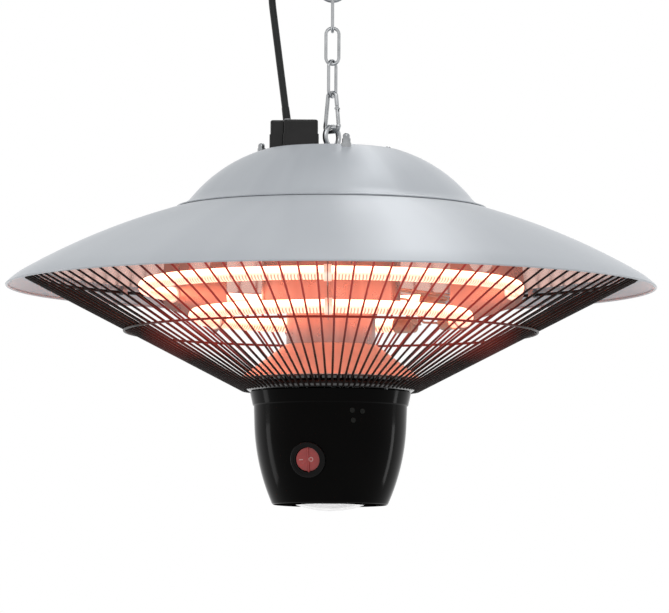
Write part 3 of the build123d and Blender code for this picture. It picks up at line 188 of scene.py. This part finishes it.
def circleThrough(a, b, c):
    (x1, y1), (x2, y2), (x3, y3) = a, b, c
    d = 2 * (x1 * (y2 - y3) + x2 * (y3 - y1) + x3 * (y1 - y2))
    s1, s2, s3 = x1 * x1 + y1 * y1, x2 * x2 + y2 * y2, x3 * x3 + y3 * y3
    x = (s1 * (y2 - y3) + s2 * (y3 - y1) + s3 * (y1 - y2)) / d
    y = (s1 * (x3 - x2) + s2 * (x1 - x3) + s3 * (x2 - x1)) / d
    return x, y


def arcAbout(x, y, radius, a, c, steps):
    # points after a, up to c, on a circle round (x, y), the short way round
    first, last = atan2(a[1] - y, a[0] - x), atan2(c[1] - y, c[0] - x)
    sweep = (last - first + pi) % (2 * pi) - pi
    return [
        (x + radius * cos(first + sweep * k / steps), y + radius * sin(first + sweep * k / steps))
        for k in range(1, steps + 1)
    ]


def arcThrough(a, b, c, steps):
    # points after a, up to c, on the circle through all three
    x, y = circleThrough(a, b, c)
    return arcAbout(x, y, hypot(a[0] - x, a[1] - y), a, c, steps)


def arcFrom(a, heading, c, steps):
    # points after a, up to c, on the circle that leaves a along heading
    hx, hy = heading
    size = hypot(hx, hy)
    nx, ny = -hy / size, hx / size
    dx, dy = c[0] - a[0], c[1] - a[1]
    radius = (dx * dx + dy * dy) / (2 * (dx * nx + dy * ny))
    return arcAbout(a[0] + radius * nx, a[1] + radius * ny, abs(radius), a, c, steps)


def headingOf(points):
    (x1, y1), (x2, y2) = points[-2:]
    return x2 - x1, y2 - y1


def onLathe(name, profile, segments, sheet, outside):
    # one ring, drawn out from point to point of the profile (mm, from the rim's plane), then given its wall
    radius, height = profile[0]
    clearSelection()
    bpy.ops.mesh.primitive_circle_add(
        vertices=segments, radius=radius / 1000, location=(0, 0, rimZ + height / 1000)
    )
    piece = bpy.context.object
    piece.name = name
    intoMesh(piece)
    bpy.ops.object.mode_set(mode="EDIT")
    bpy.ops.mesh.select_all(action="SELECT")
    for nextRadius, nextHeight in profile[1:]:
        bpy.ops.mesh.extrude_region_move(
            TRANSFORM_OT_translate={"value": (0, 0, (nextHeight - height) / 1000)}
        )
        grow = nextRadius / radius
        bpy.ops.transform.resize(value=(grow, grow, 1), center_override=(0, 0, 0))
        radius, height = nextRadius, nextHeight
    bpy.ops.mesh.select_all(action="SELECT")
    bpy.ops.mesh.normals_make_consistent(inside=False)
    bpy.ops.object.mode_set(mode="OBJECT")
    # the wall goes to the inner side, so the skin first has to face the point outside
    probe = Vector((outside[0] / 1000, 0, rimZ + outside[1] / 1000))
    face = min(piece.data.polygons, key=lambda polygon: (polygon.center - probe).length)
    if face.normal.dot(probe - face.center) < 0:
        bpy.ops.object.mode_set(mode="EDIT")
        bpy.ops.mesh.select_all(action="SELECT")
        bpy.ops.mesh.flip_normals()
        bpy.ops.object.mode_set(mode="OBJECT")
    wall = piece.modifiers.new("wall", "SOLIDIFY")
    wall.thickness, wall.offset = sheet / 1000, -1
    applyAll(piece)
    return piece


def drill(piece, holes):
    # round holes: middle and direction of each, its radius and half its depth in mm
    for middle, outward, radius, reach in holes:
        clearSelection()
        bpy.ops.mesh.primitive_cylinder_add(
            vertices=64,  # sides of the round hole
            radius=radius / 1000,
            depth=2 * reach / 1000,
            location=middle,
            rotation=Vector(outward).to_track_quat("Z", "Y").to_euler(),
        )
        bit = bpy.context.object
        hole = piece.modifiers.new("hole", "BOOLEAN")
        hole.operation, hole.object = "DIFFERENCE", bit
        applyAll(piece)
        bpy.data.objects.remove(bit)


flatFrom = 40  # degrees, sharper edges than this stay sharp


def softEdges(piece, degreesFlat):
    takeUp(piece)
    bpy.ops.object.shade_smooth_by_angle(angle=radians(degreesFlat))


def around(radius, angle, height):
    # a point in metres from a radius and a height in mm
    return Vector((radius * cos(radians(angle)), radius * sin(radians(angle)), 0)) / 1000 + Vector(
        (0, 0, rimZ + height / 1000)
    )


def newFinish(name):
    material = bpy.data.materials.new(name)
    material.use_nodes = True
    shader = material.node_tree.nodes["Principled BSDF"]
    return material, material.node_tree, shader


def objectPoint(tree):
    return tree.nodes.new("ShaderNodeTexCoord").outputs["Object"]


def noise(tree, point, scale, detail=3.0):
    node = tree.nodes.new("ShaderNodeTexNoise")
    node.inputs["Scale"].default_value = scale
    node.inputs["Detail"].default_value = detail
    tree.links.new(point, node.inputs["Vector"])
    return node.outputs["Fac"]


def sums(tree, operation, first, second=None, third=None):
    node = tree.nodes.new("ShaderNodeMath")
    node.operation = operation
    for socket, value in zip(node.inputs, (first, second, third)):
        if isinstance(value, (int, float)):
            socket.default_value = value
        elif value is not None:
            tree.links.new(value, socket)
    return node.outputs["Value"]


def vectorSums(tree, operation, first, fixed, result="Vector"):
    node = tree.nodes.new("ShaderNodeVectorMath")
    node.operation = operation
    tree.links.new(first, node.inputs[0])
    node.inputs[1].default_value = fixed
    return node.outputs[result]


def inMillimetres(tree, value):
    return sums(tree, "MULTIPLY", value, 1000.0)


def spread(tree, value, low, high, fromLow=0.3, fromHigh=0.7):
    node = tree.nodes.new("ShaderNodeMapRange")
    node.inputs["From Min"].default_value = fromLow
    node.inputs["From Max"].default_value = fromHigh
    node.inputs["To Min"].default_value = low
    node.inputs["To Max"].default_value = high
    tree.links.new(value, node.inputs["Value"])
    return node.outputs["Result"]


def twoTone(tree, value, dark, light, low=0.3, high=0.7):
    node = tree.nodes.new("ShaderNodeValToRGB")
    node.color_ramp.elements[0].position = low
    node.color_ramp.elements[1].position = high
    node.color_ramp.elements[0].color = (*dark, 1)
    node.color_ramp.elements[1].color = (*light, 1)
    tree.links.new(value, node.inputs["Fac"])
    return node.outputs["Color"]


def relief(tree, shader, value, strength, depth):
    node = tree.nodes.new("ShaderNodeBump")
    node.inputs["Strength"].default_value = strength
    node.inputs["Distance"].default_value = depth
    tree.links.new(value, node.inputs["Height"])
    tree.links.new(node.outputs["Normal"], shader.inputs["Normal"])


grainRelief = 0.0002  # metres, the depth of the grain on plain finishes


def plainFinish(name, dark, light, metal, rough, grain, bump=0.1, gloss=0.5):
    # two close tones and a changing polish, both from noise of the given grain
    material, tree, shader = newFinish(name)
    point = objectPoint(tree)
    wide, fine = noise(tree, point, grain), noise(tree, point, grain * 9, 4)
    tree.links.new(twoTone(tree, wide, dark, light), shader.inputs["Base Color"])
    tree.links.new(spread(tree, wide, rough[0], rough[1]), shader.inputs["Roughness"])
    shader.inputs["Metallic"].default_value = metal
    shader.inputs["Specular IOR Level"].default_value = gloss
    relief(tree, shader, fine, bump, grainRelief)
    return material


spunSetting = {
    "streaks": 4, "streakShare": 0.6, "patches": 7, "patchShare": 0.4,
    "turned": 0.25,  # a quarter turn, so that highlights draw out across the rings
    "relief": 0.0001,
}


def spunFinish(name, setting):
    # sheet worked on a lathe: faint rings round the axis, fine flakes and streaks that run outwards
    material, tree, shader = newFinish(name)
    point = objectPoint(tree)
    rings = tree.nodes.new("ShaderNodeTexWave")
    rings.wave_type, rings.rings_direction = "RINGS", "Z"
    rings.inputs["Scale"].default_value = setting["rings"]
    rings.inputs["Distortion"].default_value = setting["wander"]
    rings.inputs["Detail"].default_value = 2
    tree.links.new(point, rings.inputs["Vector"])
    flakes = noise(tree, point, setting["flake"], 2)
    bearing = vectorSums(tree, "NORMALIZE", vectorSums(tree, "MULTIPLY", point, (1, 1, 0)), (0, 0, 0))
    streaks = noise(tree, bearing, spunSetting["streaks"], 3)
    patches = sums(tree, "MULTIPLY", noise(tree, point, spunSetting["patches"]), spunSetting["patchShare"])
    tone = sums(tree, "MULTIPLY_ADD", streaks, spunSetting["streakShare"], patches)
    tree.links.new(twoTone(tree, tone, setting["dark"], setting["light"]), shader.inputs["Base Color"])
    tree.links.new(spread(tree, flakes, *setting["rough"]), shader.inputs["Roughness"])
    shader.inputs["Metallic"].default_value = setting["metal"]
    shader.inputs["Specular IOR Level"].default_value = setting.get("gloss", 0.5)
    shader.inputs["Anisotropic"].default_value = setting["drawn"]
    shader.inputs["Anisotropic Rotation"].default_value = spunSetting["turned"]
    tangent = tree.nodes.new("ShaderNodeTangent")
    tangent.direction_type, tangent.axis = "RADIAL", "Z"
    tree.links.new(tangent.outputs["Tangent"], shader.inputs["Tangent"])
    both = sums(tree, "MULTIPLY_ADD", rings.outputs["Fac"], setting["ringShare"], flakes)
    relief(tree, shader, both, setting["bump"], spunSetting["relief"])
    return material


silverPaint = spunFinish("silverPaint", {
    "dark": (0.53, 0.555, 0.585), "light": (0.60, 0.625, 0.65), "metal": 0.14, "rough": (0.34, 0.40),
    "drawn": 0.88, "rings": 60, "wander": 1.5, "flake": 900, "ringShare": 0.5, "bump": 0.08, "gloss": 0.08,
})
# the reflector's salmon tint is painted lamp glow on polished sheet
reflectorSheet = spunFinish("reflectorSheet", {
    "dark": (0.68, 0.36, 0.29), "light": (0.80, 0.47, 0.39), "metal": 0.9, "rough": (0.2, 0.26),
    "drawn": 0.3, "rings": 110, "wander": 0.6, "flake": 60, "ringShare": 1.0, "bump": 0.04,
})
# the cone's salmon tint is painted lamp glow on a pale sheet
coneSheet = spunFinish("coneSheet", {
    "dark": (0.93, 0.72, 0.62), "light": (0.98, 0.80, 0.70), "metal": 0.25, "rough": (0.4, 0.5),
    "drawn": 0.2, "rings": 110, "wander": 0.6, "flake": 60, "ringShare": 1.0, "bump": 0.03,
})
# a dark sheet whose reddish cast is painted lamp glow
drumSheet = spunFinish("drumSheet", {
    "dark": (0.34, 0.22, 0.20), "light": (0.46, 0.33, 0.30), "metal": 0.9, "rough": (0.26, 0.32),
    "drawn": 0.3, "rings": 90, "wander": 0.6, "flake": 60, "ringShare": 1.0, "bump": 0.03,
})
galvanisedSteel = plainFinish("galvanisedSteel", (0.40, 0.40, 0.41), (0.52, 0.52, 0.54), 1.0, (0.3, 0.42), 60)
chainSteel = plainFinish(
    "chainSteel", (0.34, 0.35, 0.36), (0.46, 0.47, 0.48), 1.0, (0.24, 0.34), 120, bump=0.1
)
nutSteel = plainFinish("nutSteel", (0.27, 0.28, 0.29), (0.38, 0.39, 0.40), 1.0, (0.18, 0.28), 160, bump=0.1)
wireBlack = plainFinish(
    "wireBlack", (0.010, 0.007, 0.006), (0.018, 0.010, 0.009), 0.0, (0.30, 0.42), 150, bump=0.1, gloss=0.12
)
matBlack = plainFinish(
    "matBlack", (0.0022, 0.0021, 0.0020), (0.0034, 0.0030, 0.0028), 0.0, (0.6, 0.7), 25, bump=0.03, gloss=0.0
)
potBlack = plainFinish(
    "potBlack", (0.0012, 0.0011, 0.0010), (0.0020, 0.0018, 0.0016), 0.0, (0.08, 0.14), 25,
    bump=0.03, gloss=0.035,
)
dishBlack = plainFinish(
    "dishBlack", (0.003, 0.003, 0.003), (0.006, 0.005, 0.005), 0.0, (0.05, 0.12), 60, bump=0.05, gloss=0.9
)
switchBlack = plainFinish(
    "switchBlack", (0.003, 0.003, 0.003), (0.006, 0.005, 0.005), 0.0, (0.20, 0.28), 90, bump=0.1, gloss=0.1
)
boxBlack = plainFinish(
    "boxBlack", (0.004, 0.004, 0.004), (0.008, 0.007, 0.007), 0.0, (0.26, 0.38), 60, bump=0.2, gloss=0.3
)
cordBlack = plainFinish(
    "cordBlack", (0.005, 0.007, 0.007), (0.010, 0.012, 0.012), 0.0, (0.34, 0.46), 90, bump=0.1, gloss=0.3
)
rubberBlack = plainFinish(
    "rubberBlack", (0.008, 0.008, 0.008), (0.016, 0.016, 0.016), 0.0, (0.6, 0.75), 90, bump=0.2
)
# pale ceramic with an orange cast that is painted lamp glow
paleCeramic = plainFinish("paleCeramic", (0.62, 0.42, 0.32), (0.74, 0.54, 0.43), 0.0, (0.5, 0.62), 120)
boardGreen = plainFinish("boardGreen", (0.02, 0.12, 0.05), (0.04, 0.18, 0.08), 0.0, (0.3, 0.45), 200)
indicatorGrey = plainFinish(
    "indicatorGrey", (0.006, 0.007, 0.006), (0.014, 0.016, 0.014), 0.0, (0.25, 0.35), 300,
    bump=0.2, gloss=0.12,
)
clearLens = plainFinish("clearLens", (0.96, 0.96, 0.96), (0.99, 0.99, 0.99), 0.0, (0.0, 0.01), 40, bump=0.0)
lensShader = clearLens.node_tree.nodes["Principled BSDF"]
lensShader.inputs["Transmission Weight"].default_value = 1.0
lensShader.inputs["IOR"].default_value = 1.45


switchSetting = {
    "middle": (-0.020086, -0.061819, -0.4696705),  # where the rocker's face crosses the pot's wall
    "outward": (-0.303338, -0.933580, -0.190809),
    "across": (0.951057, -0.309017, 0.0),
    "upward": (-0.058963, -0.181469, 0.981627),
    "bar": {"at": -6.4, "half": 1.7, "thick": 0.42},  # mm, the mark for on
    "ring": {"at": 2.6, "radius": 1.75, "thick": 0.38},  # mm, the mark for off
    "bezel": 16.6,
    "grain": 80,
    "specks": 700,
    "rough": (0.22, 0.30),
    "bump": 0.05,
    "red": ((0.37, 0.042, 0.040), (0.44, 0.055, 0.050)),
    "mark": (0.62, 0.36, 0.33),
}


def alongWay(tree, local, way):
    # millimetres from the switch's middle in one direction
    return inMillimetres(tree, vectorSums(tree, "DOT_PRODUCT", local, way, "Value"))


def rockerFinish(name, setting):
    # red plastic with the two usual switch marks moulded in
    material, tree, shader = newFinish(name)
    point = objectPoint(tree)
    local = vectorSums(tree, "SUBTRACT", point, setting["middle"])
    across = alongWay(tree, local, setting["across"])
    upward = alongWay(tree, local, setting["upward"])
    bar, ring = setting["bar"], setting["ring"]
    beside = sums(tree, "ABSOLUTE", sums(tree, "SUBTRACT", across, bar["at"]))
    inBar = sums(
        tree,
        "MULTIPLY",
        sums(tree, "LESS_THAN", beside, bar["half"]),
        sums(tree, "LESS_THAN", sums(tree, "ABSOLUTE", upward), bar["thick"]),
    )
    off = sums(tree, "SUBTRACT", across, ring["at"])
    squares = sums(tree, "ADD", sums(tree, "MULTIPLY", off, off), sums(tree, "MULTIPLY", upward, upward))
    fromRing = sums(tree, "ABSOLUTE", sums(tree, "SUBTRACT", sums(tree, "SQRT", squares), ring["radius"]))
    inRing = sums(tree, "LESS_THAN", fromRing, ring["thick"])
    wide = noise(tree, point, setting["grain"])
    both = tree.nodes.new("ShaderNodeMix")
    both.data_type = "RGBA"
    tree.links.new(sums(tree, "MAXIMUM", inBar, inRing), both.inputs["Factor"])
    tree.links.new(twoTone(tree, wide, *setting["red"]), both.inputs[6])
    both.inputs[7].default_value = (*setting["mark"], 1)
    tree.links.new(both.outputs[2], shader.inputs["Base Color"])
    tree.links.new(spread(tree, wide, *setting["rough"]), shader.inputs["Roughness"])
    relief(tree, shader, noise(tree, point, setting["specks"], 4), setting["bump"], grainRelief)
    return material


rockerRed = rockerFinish("rockerRed", switchSetting)


def addPaintedGlow(material, colour, strength, darkBelow, glowAbove, beside=(900, 800)):
    # painted glow: light given out by a part that is no lamp, standing in for the lamps' light on it; it
    # grows with the height over the rim's plane and dies out to both sides, in mm;
    # left as it is, beside lies outside the part, so nothing fades to the sides
    tree = material.node_tree
    shader = tree.nodes["Principled BSDF"]
    parts = tree.nodes.new("ShaderNodeSeparateXYZ")
    tree.links.new(objectPoint(tree), parts.inputs["Vector"])
    height = inMillimetres(tree, sums(tree, "SUBTRACT", parts.outputs["Z"], rimZ))
    aside = inMillimetres(tree, sums(tree, "ABSOLUTE", parts.outputs["X"]))
    byHeight = spread(tree, height, 0, 1, darkBelow, glowAbove)
    glowShare = sums(tree, "MULTIPLY", byHeight, spread(tree, aside, 0, 1, *beside))
    tree.links.new(twoTone(tree, glowShare, (0, 0, 0), colour, 0, 1), shader.inputs["Emission Color"])
    shader.inputs["Emission Strength"].default_value = strength


# the grille wires get a painted red glow near the lamps, in place of the lamps' light on black wire
addPaintedGlow(wireBlack, (0.32, 0.028, 0.020), 1.0, darkBelow=-72, glowAbove=-25, beside=(175, 125))
# lamp clips: a pale salmon colour and a painted glow that stand in for the lamps' glare on plain steel
paintedGlowClip = plainFinish("paintedGlowClip", (0.62, 0.50, 0.44), (0.74, 0.62, 0.55), 0.9, (0.3, 0.4), 60)
addPaintedGlow(paintedGlowClip, (1.0, 0.55, 0.42), 0.9, darkBelow=-60, glowAbove=-40)


def glowFinish(name, setting):
    # hot glass: the wound wire shows as fine bars round the ring, strongest on its lower half
    material, tree, shader = newFinish(name)
    point = objectPoint(tree)
    parts = tree.nodes.new("ShaderNodeSeparateXYZ")
    tree.links.new(point, parts.inputs["Vector"])
    angle = sums(tree, "ARCTAN2", parts.outputs["Y"], parts.outputs["X"])
    uneven = sums(tree, "MULTIPLY", noise(tree, point, setting["uneven"]), setting["wander"])
    wave = sums(tree, "SINE", sums(tree, "MULTIPLY_ADD", angle, setting["turns"], uneven))
    bars = spread(tree, wave, 0, setting["barLight"], -setting["barEdge"], setting["barEdge"])
    above = inMillimetres(tree, sums(tree, "SUBTRACT", parts.outputs["Z"], setting["middle"]))
    upper = spread(tree, above, 0, 1, setting["barsFrom"], setting["barsTo"])
    lit = sums(tree, "MAXIMUM", bars, upper)
    glow = twoTone(tree, lit, setting["dim"], setting["bright"], 0, 1)
    tree.links.new(glow, shader.inputs["Emission Color"])
    shader.inputs["Emission Strength"].default_value = setting["strength"]
    shader.inputs["Base Color"].default_value = (*setting["glass"], 1)
    shader.inputs["Roughness"].default_value = setting["rough"]
    return material


outerMiddle, innerMiddle = rimZ - 0.0014, rimZ - 0.0278  # heights of the two ring lamps
lampSetting = {
    "turns": 360, "uneven": 60, "wander": 5.0, "barsFrom": -2.5, "barsTo": 2.5, "barEdge": 0.5,
    "barLight": 0.36, "dim": (0.08, 0.020, 0.014), "bright": (1.0, 0.33, 0.20), "strength": 8.0,
    "glass": (0.9, 0.6, 0.5), "rough": 0.1,
}
outerGlow = glowFinish("outerGlow", {**lampSetting, "middle": outerMiddle})
innerGlow = glowFinish("innerGlow", {**lampSetting, "turns": 262, "middle": innerMiddle})
hotWire = glowFinish("hotWire", {**lampSetting, "middle": innerMiddle, "strength": 9.0})

finishOf = {
    silverPaint: "ceiling_plate top_dome main_shade",
    chainSteel: "ceiling_hook hook_lock_nut chain_link_3 chain_link_2 chain_link_1 carabiner_body"
    " carabiner_gate gate_rivet eye_bolt",
    nutSteel: "eye_nuts mounting_studs stud_nuts cap_nuts cap_washers junction_box_screws tie_rod"
    " tie_rod_nuts pot_screws board_standoffs",
    boxBlack: "ceiling_gland junction_box_base junction_box_cover",
    galvanisedSteel: "dome_spacers carrier_plate rim_clips",
    drumSheet: "drum column lamp_brackets",
    rubberBlack: "cord_grommet supply_harness",
    dishBlack: "pot_top_plate",
    potBlack: "pot_shell lens_retainer",
    switchBlack: "switch_body terminal_block board_components",
    cordBlack: "power_cord",
    reflectorSheet: "reflector",
    paintedGlowClip: "lamp_clips",
    coneSheet: "lower_reflector_cone",
    paleCeramic: "lead_bushes lamp_terminal_block lamp_end_caps lamp_leads",
    outerGlow: "outer_lamp_tube",
    innerGlow: "inner_lamp_tube",
    hotWire: "lamp_filaments",
    wireBlack: "grille_wires grille_outer_ring grille_middle_ring grille_inner_ring",
    clearLens: "led_lens",
    rockerRed: "switch_rocker",
    boardGreen: "led_board control_board",
    indicatorGrey: "indicator_lights",
}
for finish, names in finishOf.items():
    for name in names.split():
        for slot in nodes[name].material_slots:
            slot.material = finish


def finishWith(piece, material):
    piece.data.materials.clear()
    piece.data.materials.append(material)


print("finishes done")

# the strain relief: a short sleeve that narrows up the cord
sleeveSetting = {"low": 3.9, "high": 3.55, "length": 20.4, "rings": 12, "sides": 32, "rounding": 0.2}
clearSelection()
bpy.ops.mesh.primitive_circle_add(
    vertices=sleeveSetting["sides"], radius=sleeveSetting["low"] / 1000, fill_type="NGON"
)
sleeve = bpy.context.object
sleeve.name = "cord_sleeve"
bpy.ops.object.mode_set(mode="EDIT")
bpy.ops.mesh.select_all(action="SELECT")
narrowing = (sleeveSetting["high"] / sleeveSetting["low"]) ** (1 / sleeveSetting["rings"])
for ring in range(sleeveSetting["rings"]):
    rise = sleeveSetting["length"] / sleeveSetting["rings"] / 1000
    bpy.ops.mesh.extrude_region_move(TRANSFORM_OT_translate={"value": (0, 0, rise)})
    bpy.ops.transform.resize(value=(narrowing, narrowing, 1))
bpy.ops.mesh.inset(thickness=sleeveSetting["rounding"] / 1000)
bpy.ops.mesh.select_all(action="SELECT")
bpy.ops.mesh.normals_make_consistent(inside=False)
bpy.ops.object.mode_set(mode="OBJECT")
lean = atan2(cordMarks[0].x - cordLine[0].x, cordMarks[0].z - cordLine[0].z)
sleeve.matrix_world = Matrix.Translation(cordLine[0]) @ Matrix.Rotation(lean, 4, "Y")
intoMesh(sleeve)
softEdges(sleeve, flatFrom)
finishWith(sleeve, cordBlack)

for name, line in cordLengths.items():
    piece = bpy.data.objects[name]
    finishWith(piece, cordBlack)
    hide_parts("power_cord")
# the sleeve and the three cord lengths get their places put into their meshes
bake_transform(sleeve)
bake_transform(bpy.data.objects["cord_low"])
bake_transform(bpy.data.objects["cord_middle"])
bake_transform(bpy.data.objects["cord_high"])

studSetting = {"circle": 69.0, "height": 80.0, "angles": (41.0, 161.0, 281.0), "hole": 2.1, "reach": 12}
studPlaces = [around(studSetting["circle"], angle, studSetting["height"]) for angle in studSetting["angles"]]
domeAboveShade = Vector((0, 0, 0.04))  # the same studs go through the dome


def studHoles(places):
    return [(place, (0, 0, 1), studSetting["hole"], studSetting["reach"]) for place in places]


# the shade, down to its rim that is rolled inwards
shadeSetting = {
    "opening": (56.0, 74.8), "flatRing": (84.0, 74.8), "flange": (112.0, 74.8), "shoulder": (154.0, 67.9),
    "middle": (221.1, 43.3), "skirt": (285.0, 11.2), "rim": (300.0, -0.5), "sheet": 1.0, "bead": 1.3,
    "segments": 256, "outside": (221, 200),
}
profile = [shadeSetting["opening"], shadeSetting["flatRing"], shadeSetting["flange"]]
profile += arcFrom(shadeSetting["flange"], (1, 0), shadeSetting["shoulder"], 8)
profile += arcThrough(shadeSetting["shoulder"], shadeSetting["middle"], shadeSetting["skirt"], 24)
profile += arcFrom(shadeSetting["skirt"], headingOf(profile), shadeSetting["rim"], 5)
bead, (rimRadius, rimHeight) = shadeSetting["bead"], shadeSetting["rim"]
profile += [
    (rimRadius - bead + bead * cos(radians(angle)), rimHeight - bead * sin(radians(angle)))
    for angle in range(30, 211, 30)
]
shade = onLathe(
    "shade_skin", profile, shadeSetting["segments"], shadeSetting["sheet"], shadeSetting["outside"]
)
drill(shade, studHoles(studPlaces))
softEdges(shade, flatFrom)
finishWith(shade, silverPaint)
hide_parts("main_shade")
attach(shade, "heater")

# the dome on top of it
domeSetting = {
    "hole": (3.2, 126.6), "flatRing": (26.0, 126.6), "flat": (52.0, 126.6), "brow": (64.0, 125.1),
    "middle": (99.3, 108.4), "waist": (130.0, 80.3), "lip": (143.0, 72.7), "sheet": 1.0,
    "segments": 192, "outside": (200, 200), "harness": {"from": 30.0, "radius": 4.5, "reach": 5},
}
profile = [domeSetting["hole"], domeSetting["flatRing"], domeSetting["flat"]]
profile += arcFrom(domeSetting["flat"], (1, 0), domeSetting["brow"], 5)
profile += arcThrough(domeSetting["brow"], domeSetting["middle"], domeSetting["waist"], 24)
profile += arcFrom(domeSetting["waist"], headingOf(profile), domeSetting["lip"], 8)
dome = onLathe("dome_skin", profile, domeSetting["segments"], domeSetting["sheet"], domeSetting["outside"])
drill(dome, studHoles([place + domeAboveShade for place in studPlaces]))
harness = domeSetting["harness"]
harnessPlace = around(harness["from"], 180, domeSetting["flat"][1])
drill(dome, [(harnessPlace, (0, 0, 1), harness["radius"], harness["reach"])])
softEdges(dome, flatFrom)
finishWith(dome, silverPaint)
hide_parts("top_dome")
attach(dome, "heater")

# the control pot, open where the switch and the small lights look out
potSetting = {
    "top": (74.1, -97.7), "lipWidth": 1.6, "lipEdge": (0.4, 0.6), "collarFoot": (71.6, -109.8),
    "step": (70.6, -110.8), "straightEnd": (70.0, -128.0), "wallHeading": (-0.6, -17.2),
    "heel": (53.6, -200.0), "base": (51.6, -201.4), "baseRing": 42.0, "floor": 31.7, "wall": 2.0,
    "segments": 192, "outside": (200, -150), "flatFrom": 30, "bezelReach": 10, "underside": -0.95,
    "lights": ((-73.7, -117.9), (-65.7, -118.6), (-72.9, -127.0)), "lightsFrom": 70.6, "lightRadius": 2.4,
    "lightReach": 5,
}
topRadius, topHeight = potSetting["top"]
edgeWidth, edgeDrop = potSetting["lipEdge"]
profile = [(topRadius - potSetting["lipWidth"], topHeight), (topRadius - edgeWidth, topHeight)]
profile += [(topRadius, topHeight - edgeDrop)]
profile += [potSetting["collarFoot"], potSetting["step"], potSetting["straightEnd"]]
profile += arcFrom(potSetting["straightEnd"], potSetting["wallHeading"], potSetting["heel"], 28)
profile += arcFrom(potSetting["heel"], headingOf(profile), potSetting["base"], 4)
baseHeight = potSetting["base"][1]
profile += [(potSetting["baseRing"], baseHeight), (potSetting["floor"], baseHeight)]
pot = onLathe("pot_skin", profile, potSetting["segments"], potSetting["wall"], potSetting["outside"])
drill(pot, [
    (switchSetting["middle"], switchSetting["outward"], switchSetting["bezel"], potSetting["bezelReach"])
])
drill(pot, [
    (
        around(potSetting["lightsFrom"], angle, height),
        (cos(radians(angle)), sin(radians(angle)), 0),
        potSetting["lightRadius"],
        potSetting["lightReach"],
    )
    for angle, height in potSetting["lights"]
])
softEdges(pot, potSetting["flatFrom"])
finishWith(pot, potBlack)
pot.data.materials.append(matBlack)  # the underside has no polish
for polygon in pot.data.polygons:
    if polygon.normal.z < potSetting["underside"]:
        polygon.material_index = 1
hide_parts("pot_shell")
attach(pot, "heater")
print("shade, dome and pot done")

def mirroredRays(tree, path):
    # rays that come off something shiny or through the clear lens
    return sums(tree, "MAXIMUM", path.outputs["Is Glossy Ray"], path.outputs["Is Transmission Ray"])


# floor far below: white in what shines, nearly white to the camera, and seen through from under it
floorSetting = {
    "height": -1.4, "size": 30.0, "colour": (0.86, 0.86, 0.86), "rough": 0.9, "seenWhite": 0.8,
}
clearSelection()
bpy.ops.mesh.primitive_plane_add(size=floorSetting["size"], location=(0, 0, floorSetting["height"]))
floor = bpy.context.object
floor.name = "floor"
floorFinish, tree, shader = newFinish("floorFinish")
shader.inputs["Base Color"].default_value = (*floorSetting["colour"], 1)
shader.inputs["Roughness"].default_value = floorSetting["rough"]
path = tree.nodes.new("ShaderNodeLightPath")
white = tree.nodes.new("ShaderNodeEmission")
shining = tree.nodes.new("ShaderNodeMixShader")
mirrored = mirroredRays(tree, path)
direct = sums(tree, "MULTIPLY", path.outputs["Is Camera Ray"], floorSetting["seenWhite"])
tree.links.new(sums(tree, "MAXIMUM", mirrored, direct), shining.inputs["Fac"])
tree.links.new(shader.outputs["BSDF"], shining.inputs[1])
tree.links.new(white.outputs["Emission"], shining.inputs[2])
seeThrough = tree.nodes.new("ShaderNodeBsdfTransparent")
which = tree.nodes.new("ShaderNodeNewGeometry")
mix = tree.nodes.new("ShaderNodeMixShader")
tree.links.new(which.outputs["Backfacing"], mix.inputs["Fac"])
tree.links.new(shining.outputs["Shader"], mix.inputs[1])
tree.links.new(seeThrough.outputs["BSDF"], mix.inputs[2])
tree.links.new(mix.outputs["Shader"], tree.nodes["Material Output"].inputs["Surface"])
floor.data.materials.append(floorFinish)

# white all round, at a plain level on the object itself
skySetting = {"seen": (1.0, 1.0, 1.0), "lit": (0.52, 0.53, 0.545)}
world = bpy.data.worlds.new("studio")
bpy.context.scene.world = world
world.use_nodes = True
tree = world.node_tree
tree.nodes.clear()
path = tree.nodes.new("ShaderNodeLightPath")
seen = tree.nodes.new("ShaderNodeBackground")
seen.inputs["Color"].default_value = (*skySetting["seen"], 1)
lit = tree.nodes.new("ShaderNodeBackground")
lit.inputs["Color"].default_value = (*skySetting["lit"], 1)
mirrored = mirroredRays(tree, path)
mix = tree.nodes.new("ShaderNodeMixShader")
tree.links.new(sums(tree, "MAXIMUM", path.outputs["Is Camera Ray"], mirrored), mix.inputs["Fac"])
tree.links.new(lit.outputs["Background"], mix.inputs[1])
tree.links.new(seen.outputs["Background"], mix.inputs[2])
output = tree.nodes.new("ShaderNodeOutputWorld")
tree.links.new(mix.outputs["Shader"], output.inputs["Surface"])

lightTarget = Vector((0, 0, -0.25))
lightSetting = {
    "keyLight": {"from": (0.1, -2.6, 1.6), "size": (1.6, 1.6), "power": 20.0},
    "leftLight": {"from": (-2.4, 0.8, -0.85), "size": (0.45, 0.9), "power": 4.0},
    "rightLight": {"from": (2.4, 0.9, -0.85), "size": (0.3, 0.9), "power": 4.0},
    "backLight": {"from": (0.21, 1.5, 1.22), "size": (0.42, 0.9), "power": 4.6},
    "topLight": {"from": (0.52, 0.50, 1.84), "size": (0.42, 0.7), "power": 9.0},
}
for name, setting in lightSetting.items():
    data = bpy.data.lights.new(name, "AREA")
    data.shape = "RECTANGLE"
    data.size, data.size_y = setting["size"]
    data.energy = setting["power"]
    light = bpy.data.objects.new(name, data)
    bpy.context.scene.collection.objects.link(light)
    light.location = setting["from"]
    towards = lightTarget - Vector(setting["from"])
    light.rotation_euler = towards.to_track_quat("-Z", "Y").to_euler()
    light.visible_camera = False
bpy.context.scene.view_settings.view_transform = "Standard"
print("stage done")
